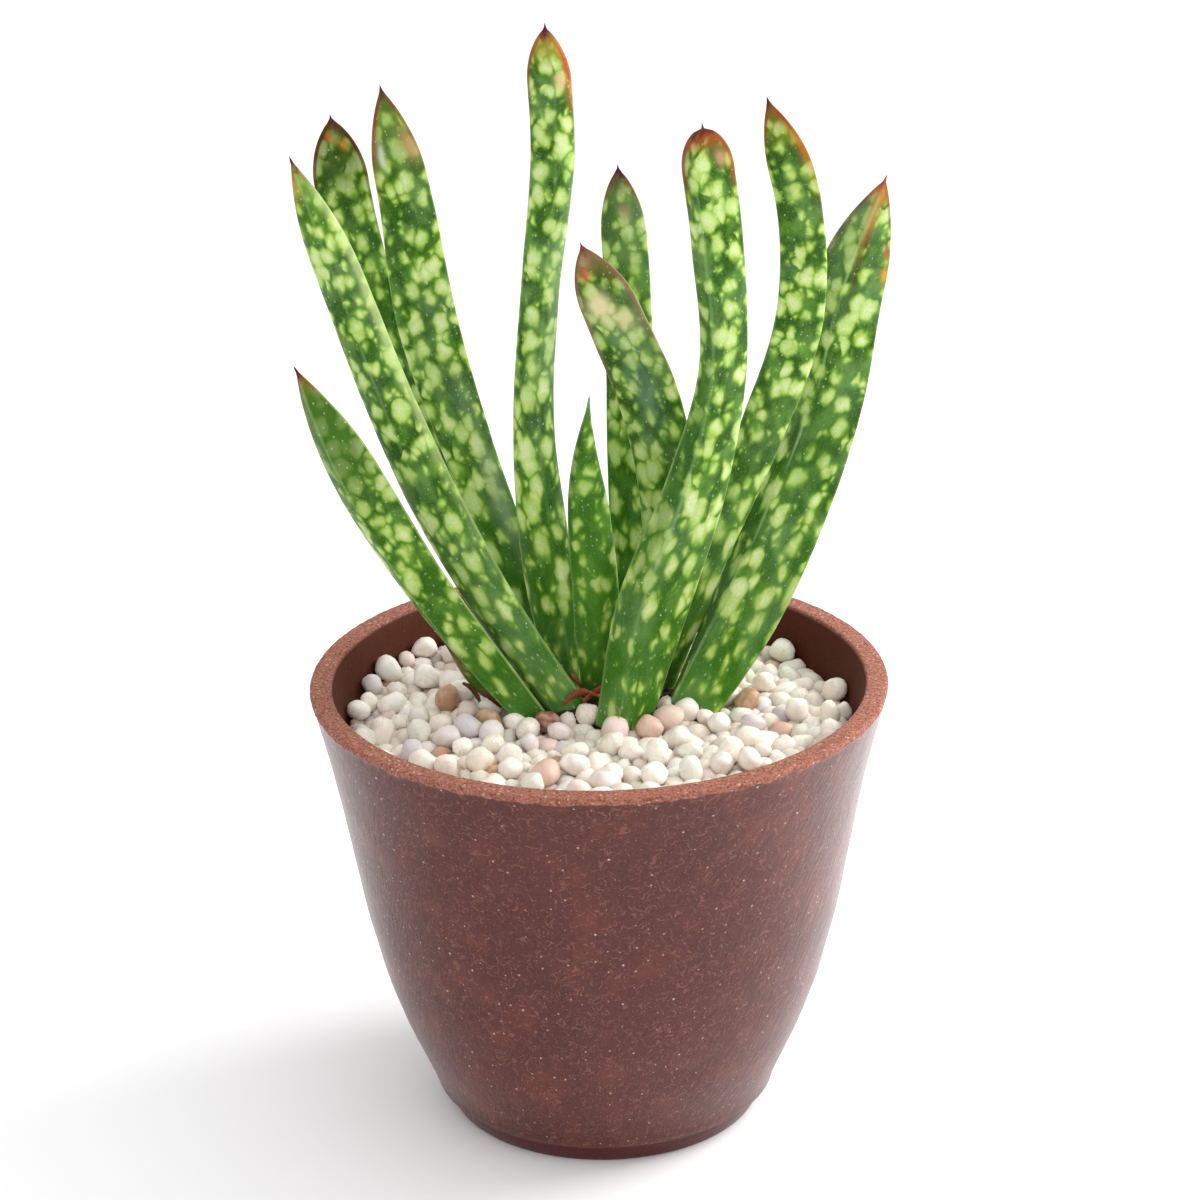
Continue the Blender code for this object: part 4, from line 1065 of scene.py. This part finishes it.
def buildPebbles():
    spot, radius, dice = packPebbles()
    count = len(spot)
    tone = dice.random(count) * quartz["plainTo"]
    rare = dice.random(count)
    tone = np.where(rare > quartz["rareFrom"],
                    quartz["plainTo"] + quartz["rareRange"] * dice.random(count), tone)
    for x, y, value in toneSpots:
        near = np.hypot(spot[:, 0] - x, spot[:, 1] - y) - 0.9 * (spot[:, 2] - 88)
        tone[np.argmin(near)] = value
    points = bpy.data.meshes.new("pebblePoints")
    points.from_pydata((spot * mm).tolist(), [], [])
    turn = np.stack([dice.normal(0, 0.6, count), dice.normal(0, 0.6, count), dice.uniform(0, 6.28, count)], 1)
    for label, kind, values in (("stoneSize", "FLOAT", radius), ("stoneTone", "FLOAT", tone),
                                ("stoneTurn", "FLOAT_VECTOR", turn),
                                ("stoneShift", "FLOAT_VECTOR", dice.uniform(0, 50, (count, 3))),
                                ("stoneShape", "INT", dice.integers(0, pebbleBed["shapes"], count))):
        vertexAttribute(points, label, kind, values)

    shelf = bpy.data.collections.new("pebbleShapes")
    for number in range(pebbleBed["shapes"]):
        mesh = pebbleShape(number)
        shelf.objects.link(bpy.data.objects.new(mesh.name, mesh))
    tree, given = newNodeTree("layPebbles",
                              {"Pebble shapes": "Collection", "Size": "Float", "Material": "Material"})
    shapes = addNode(tree, "GeometryNodeCollectionInfo", {}, {
        "Collection": given["Pebble shapes"], "Separate Children": True, "Reset Children": True})
    sized, picked, turned = (
        addNode(tree, "GeometryNodeInputNamedAttribute", {"data_type": kind}, {"Name": label}).outputs[0]
        for label, kind in (("stoneSize", "FLOAT"), ("stoneShape", "INT"), ("stoneTurn", "FLOAT_VECTOR")))
    scale = addNode(tree, "ShaderNodeMath", {"operation": "MULTIPLY"}, {0: sized, 1: given["Size"]})
    rotation = addNode(tree, "FunctionNodeEulerToRotation", {}, {0: turned})
    spots = addNode(tree, "GeometryNodeMeshToPoints", {}, {0: given["Geometry"]})
    placed = addNode(tree, "GeometryNodeInstanceOnPoints", {},
                     {"Points": spots.outputs[0], "Instance": shapes.outputs[0], "Pick Instance": True,
                      "Instance Index": picked, "Rotation": rotation.outputs[0], "Scale": scale.outputs[0]})
    endTree(tree, placed.outputs[0], given["Material"], True)
    mesh = runNodes(points, tree,
                    {"Pebble shapes": shelf, "Size": pebbleBed["size"], "Material": quartzPebble()})
    for item in list(shelf.objects):
        bpy.data.objects.remove(item)
    bpy.data.collections.remove(shelf)
    print("pebble crest:", round(float(np.percentile(spot[:, 2] + radius * pebbleBed["flat"], 97)), 1), "mm")
    return addPiece("pebbleMulch", mesh, None, ("gravel_bed",))


def quartzPebble():  # river-worn quartz: smooth, dry, cloudy whites with a few coloured stones
    material, tree, shader = newMaterial("wornQuartz")
    tone = addNode(tree, "ShaderNodeAttribute", {"attribute_name": "stoneTone"}).outputs["Fac"]
    shift = addNode(tree, "ShaderNodeAttribute", {"attribute_name": "stoneShift"}).outputs["Vector"]
    solid = solidPlace(tree)
    place = addNode(tree, "ShaderNodeVectorMath", {"operation": "ADD"}, {0: solid, 1: shift}).outputs[0]
    ramp = addNode(tree, "ShaderNodeValToRGB", {}, {0: tone})
    fillRamp(ramp, [stop + (1.0,) for stop in quartz["stops"]])
    cloud, streak, pits = (
        addNode(tree, "ShaderNodeTexNoise", {}, {"Vector": place, "Scale": scale, "Detail": detail,
                                                 "Distortion": distortion}).outputs[0]
        for scale, detail, distortion in ((0.30, 3.0, 1.2), (0.22, 2.0, 2.0), (1.6, 3.0, 0.0)))
    cloudShare = addNode(tree, "ShaderNodeMapRange", {}, {0: cloud, 1: 0.42, 2: 0.72, 4: 0.55})
    away = addNode(tree, "ShaderNodeMath", {"operation": "SUBTRACT"}, {0: streak, 1: 0.56})
    away = addNode(tree, "ShaderNodeMath", {"operation": "ABSOLUTE"}, {0: away.outputs[0]})
    vein = addNode(tree, "ShaderNodeMapRange", {"interpolation_type": "SMOOTHSTEP"},
                   {0: away.outputs[0], 1: 0.0, 2: 0.02, 3: 0.35, 4: 0.0})
    colour = ramp.outputs[0]
    for share, code in ((cloudShare, quartz["cloud"]), (vein, quartz["vein"])):
        colour = addNode(tree, "ShaderNodeMix", {"data_type": "RGBA"},
                         {0: share.outputs[0], 6: colour, 7: fromHex(code)}).outputs[2]
    # painted shade: the lower stones are darkened by height, so the gaps between the upper ones read darker
    height = addNode(tree, "ShaderNodeSeparateXYZ", {}, {0: solid}).outputs[2]
    low, high, shade = quartz["gapShade"]
    gapShade = addNode(tree, "ShaderNodeMapRange", {}, {0: height, 1: low, 2: high, 3: shade, 4: 1.0})
    gapShadedColour = addNode(tree, "ShaderNodeVectorMath", {"operation": "SCALE"},
                   {0: colour, "Scale": gapShade.outputs[0]})
    bump = addNode(tree, "ShaderNodeBump", {}, {"Strength": quartz["bump"], "Distance": quartz["relief"] * mm,
                                                "Height": pits})
    tree.links.new(gapShadedColour.outputs[0], shader.inputs["Base Color"])
    tree.links.new(bump.outputs[0], shader.inputs["Normal"])
    shader.inputs["Roughness"].default_value = quartz["rough"]
    shader.inputs["IOR"].default_value = quartz["ior"]
    return material


pebbles = buildPebbles()
print("pebbles laid:", len(pebbles.data.polygons), "faces")

# potting mix that shows between the leaf bases: damp peat and bark, nearly black, with a few brown bits
mix = dict(edgeHeight=84.0, crownHeight=88.4, under=81.4, centre=(1.0, 8.0), across=19.0, deep=11.5,
           rings=64, spokes=180, reach=52.0, coarse=(3.2, 12, 0.8), fine=(1.2, 13, 0.35))
peat = dict(grain={"Scale": 0.9, "Detail": 4.0, "Roughness": 0.7}, low=0.35, high=0.75, dark="#120d09",
            light="#4a2f1d", rough=0.92, bump=0.9, relief=0.5)
crumbs = dict(perSquareMetre=420000.0, radius=0.55, sizes=((0.4, 0.4, 0.3), (1.6, 1.1, 0.9), 2), spin=6.3,
              spinSeed=5, seed=3, subdivisions=1, smooth=False)


def buildMix():
    material = mottledMaterial("peatAndBark", peat)
    refinish(["soil"], material)
    rings, spokes = mix["rings"], mix["spokes"]
    rows = np.linspace(0, 1, rings + 1)[1:] * mix["reach"]
    turn = 2 * math.pi * np.arange(spokes) / spokes
    x, y = (np.append((rows[:, None] * wave).ravel(), 0) for wave in (np.cos(turn), np.sin(turn)))
    inside = np.hypot((x - mix["centre"][0]) / mix["across"], (y - mix["centre"][1]) / mix["deep"])
    share = np.clip((1.15 - inside) / 0.35, 0, 1)
    share = share * share * (3 - 2 * share)
    height = mix["edgeHeight"] + (mix["crownHeight"] - mix["edgeHeight"]) * share
    flat = np.stack([x, y, x * 0], 1)
    for grain, seed, depth in (mix["coarse"], mix["fine"]):
        height = height + lumps(flat, grain, seed) * depth
    top = np.stack([x, y, height], 1)
    under = np.stack([x, y, x * 0 + mix["under"]], 1)
    count, last, faces = len(top), (rings - 1) * spokes, []
    for row in range(rings - 1):  # this order of faces decides where the crumbs fall
        for spoke in range(spokes):
            after = (spoke + 1) % spokes
            a, b = row * spokes + spoke, (row + 1) * spokes + spoke
            c, d = (row + 1) * spokes + after, row * spokes + after
            faces += [(a, b, c, d), (count + d, count + c, count + b, count + a)]
    for spoke in range(spokes):
        after = (spoke + 1) % spokes
        faces += [(spoke, after, count - 1), (count + after, count + spoke, 2 * count - 1),
                  (last + spoke, count + last + spoke, count + last + after, last + after)]
    mesh = newMesh("mixSurface", np.vstack([top, under]), faces)
    addPiece("pottingMixTop", mesh, material)
    crumbBase = mesh.copy()
    vertexAttribute(crumbBase, "chance", "FLOAT", np.concatenate([share, share * 0]))
    scatterBalls("mixCrumbs", crumbBase, crumbs, material)


buildMix()
print("potting mix ready")

# dry litter: torn strips of old sheath and one fibre, as a path in millimetres, a width and a colour
litter = dict(
    dry_sheath_long=(((-3.4, 0.0, 90.2), (-1.4, 0.9, 91.2), (0.5, 1.9, 92.0), (2.6, 2.9, 92.9)), 2.7,
                     "#b8502e"),
    dry_sheath_curl=(((-5.6, 9.6, 92.6), (-5.3, 7.2, 92.6), (-4.4, 5.6, 91.9), (-3.0, 4.2, 90.2)), 1.5,
                     "#a8442a"),
    dry_root=(((2.6, -9.0, 94.2), (4.0, -9.7, 92.8), (4.0, -10.3, 91.4), (3.1, -10.4, 90.0)), 0.34,
              "#b08a50"),
)
moreStrips = (  # start, end, width, rise of the middle, colour
    ((-7.4, -0.4, 90.0), (-2.0, 1.2, 91.4), 3.1, 0.9, "#ad5836"),
    ((-5.0, 3.2, 91.0), (1.8, -0.6, 90.8), 2.4, 0.8, "#b46444"),
    ((11.8, -1.2, 89.4), (13.6, 0.6, 94.6), 1.5, 0.4, "#7d5a22"),
    ((20.6, 4.6, 89.2), (18.4, 8.6, 94.8), 1.4, 0.6, "#5f3a1e"),
    ((12.6, 4.4, 89.2), (15.4, 5.6, 95.2), 1.1, 0.6, "#6a4526"),
    ((-20.4, -0.6, 89.6), (-24.6, 1.6, 92.4), 1.6, 0.7, "#7a4526"),
    ((-24.8, 4.0, 88.8), (-28.6, 7.4, 91.8), 1.2, 0.6, "#6f3d22"),
    ((-9.0, 15.4, 88.6), (-3.8, 16.4, 92.2), 1.2, 0.8, "#6a3d22"),
    ((5.4, 14.0, 88.6), (8.6, 10.2, 92.0), 1.0, 0.7, "#7a4a2a"),
    ((-0.8, 20.6, 88.6), (3.6, 23.4, 91.0), 1.2, 0.8, "#5f3a22"),
)
# dead leaf sheath: papery, ribbed along its length, no shine
sheath = dict(grain={"Scale": 1.4, "Detail": 4.0, "Distortion": 1.5}, low=0.3, high=0.7,
              attribute="stripTint",
              shade=0.4, rough=0.8, bump=0.6, relief=0.2)
stripShape = dict(rows=26, across=8, thick=0.14, thinnest=0.1, curl=0.45, endWidth=0.35, ragged=0.14)


def stripMesh(name, path, width, code, seed):  # a thin gutter-shaped strip with ragged ends, closed all round
    dice = random.Random(seed)
    shape = stripShape
    places = np.linspace(0, 1, shape["rows"])
    centre = smoothPath(np.array(path, float), places)
    ahead = np.gradient(centre, axis=0)
    ahead /= np.linalg.norm(ahead, axis=1)[:, None]
    side = np.cross(ahead, [0, 0, 1])
    side /= np.linalg.norm(side, axis=1)[:, None]
    up = np.cross(side, ahead)
    twist = np.radians(dice.uniform(20, 45) + dice.uniform(-30, 30) * places)[:, None]
    side, up = side * np.cos(twist) + up * np.sin(twist), up * np.cos(twist) - side * np.sin(twist)
    swell = shape["endWidth"] + (1 - shape["endWidth"]) * np.sin(math.pi * np.clip(places * 0.9 + 0.06, 0, 1))
    half = 0.5 * width * swell * np.array([1 + dice.uniform(-shape["ragged"], shape["ragged"])
                                           for place in places])
    thin = max(shape["thinnest"], shape["thick"] * width)
    steps = np.linspace(-1, 1, shape["across"] + 1)
    outline = [(u, 0.5) for u in steps] + [(u, -0.5) for u in steps[::-1]]
    points, faces, size = [], [], len(outline)
    for row in range(len(places)):
        for u, v in outline:
            curl = shape["curl"] * half[row] * u * u
            points.append(centre[row] + side[row] * u * half[row]
                          + up[row] * (curl + v * thin * (1 - 0.6 * u * u)))
    for row in range(len(places) - 1):
        for k in range(size):
            after = (k + 1) % size
            faces.append((row * size + k, row * size + after, (row + 1) * size + after, (row + 1) * size + k))
    faces += [tuple(range(size)), tuple(reversed(range(len(points) - size, len(points))))]
    mesh = newMesh(name, points, faces)
    faceOutward(mesh)
    vertexAttribute(mesh, "stripTint", "FLOAT_COLOR", [fromHex(code)] * len(points))
    return mesh


def buildLitter():
    material = mottledMaterial("driedLeafSheath", sheath)
    for number, (node, (path, width, code)) in enumerate(litter.items()):
        mesh = stripMesh(node + "Strip", path, width, code, 20 + number)
        addPiece(node + "Strip", mesh, material, (node,))
    for number, (start, end, width, rise, code) in enumerate(moreStrips):
        middle = [(a + b) / 2 + (rise if k == 2 else 0.3 * (-1) ** number)
                  for k, (a, b) in enumerate(zip(start, end))]
        name = f"oldSheath{number + 1}"
        addPiece(name, stripMesh(name, (start, middle, end), width, code, 40 + number), material)


buildLitter()
print("dry litter laid")

# the buried crowns keep their solids with a root finish: fleshy pale root, dull and a little stained
root = dict(grain={"Scale": 0.35, "Detail": 4.0}, low=0.0, high=1.0, dark="#6f5636", light="#b89c70",
            rough=0.85,
            bump=0.5, relief=0.3)
refinish(("crown_left", "crown_right"), mottledMaterial("fleshyRoot", root))
print("crowns finished")
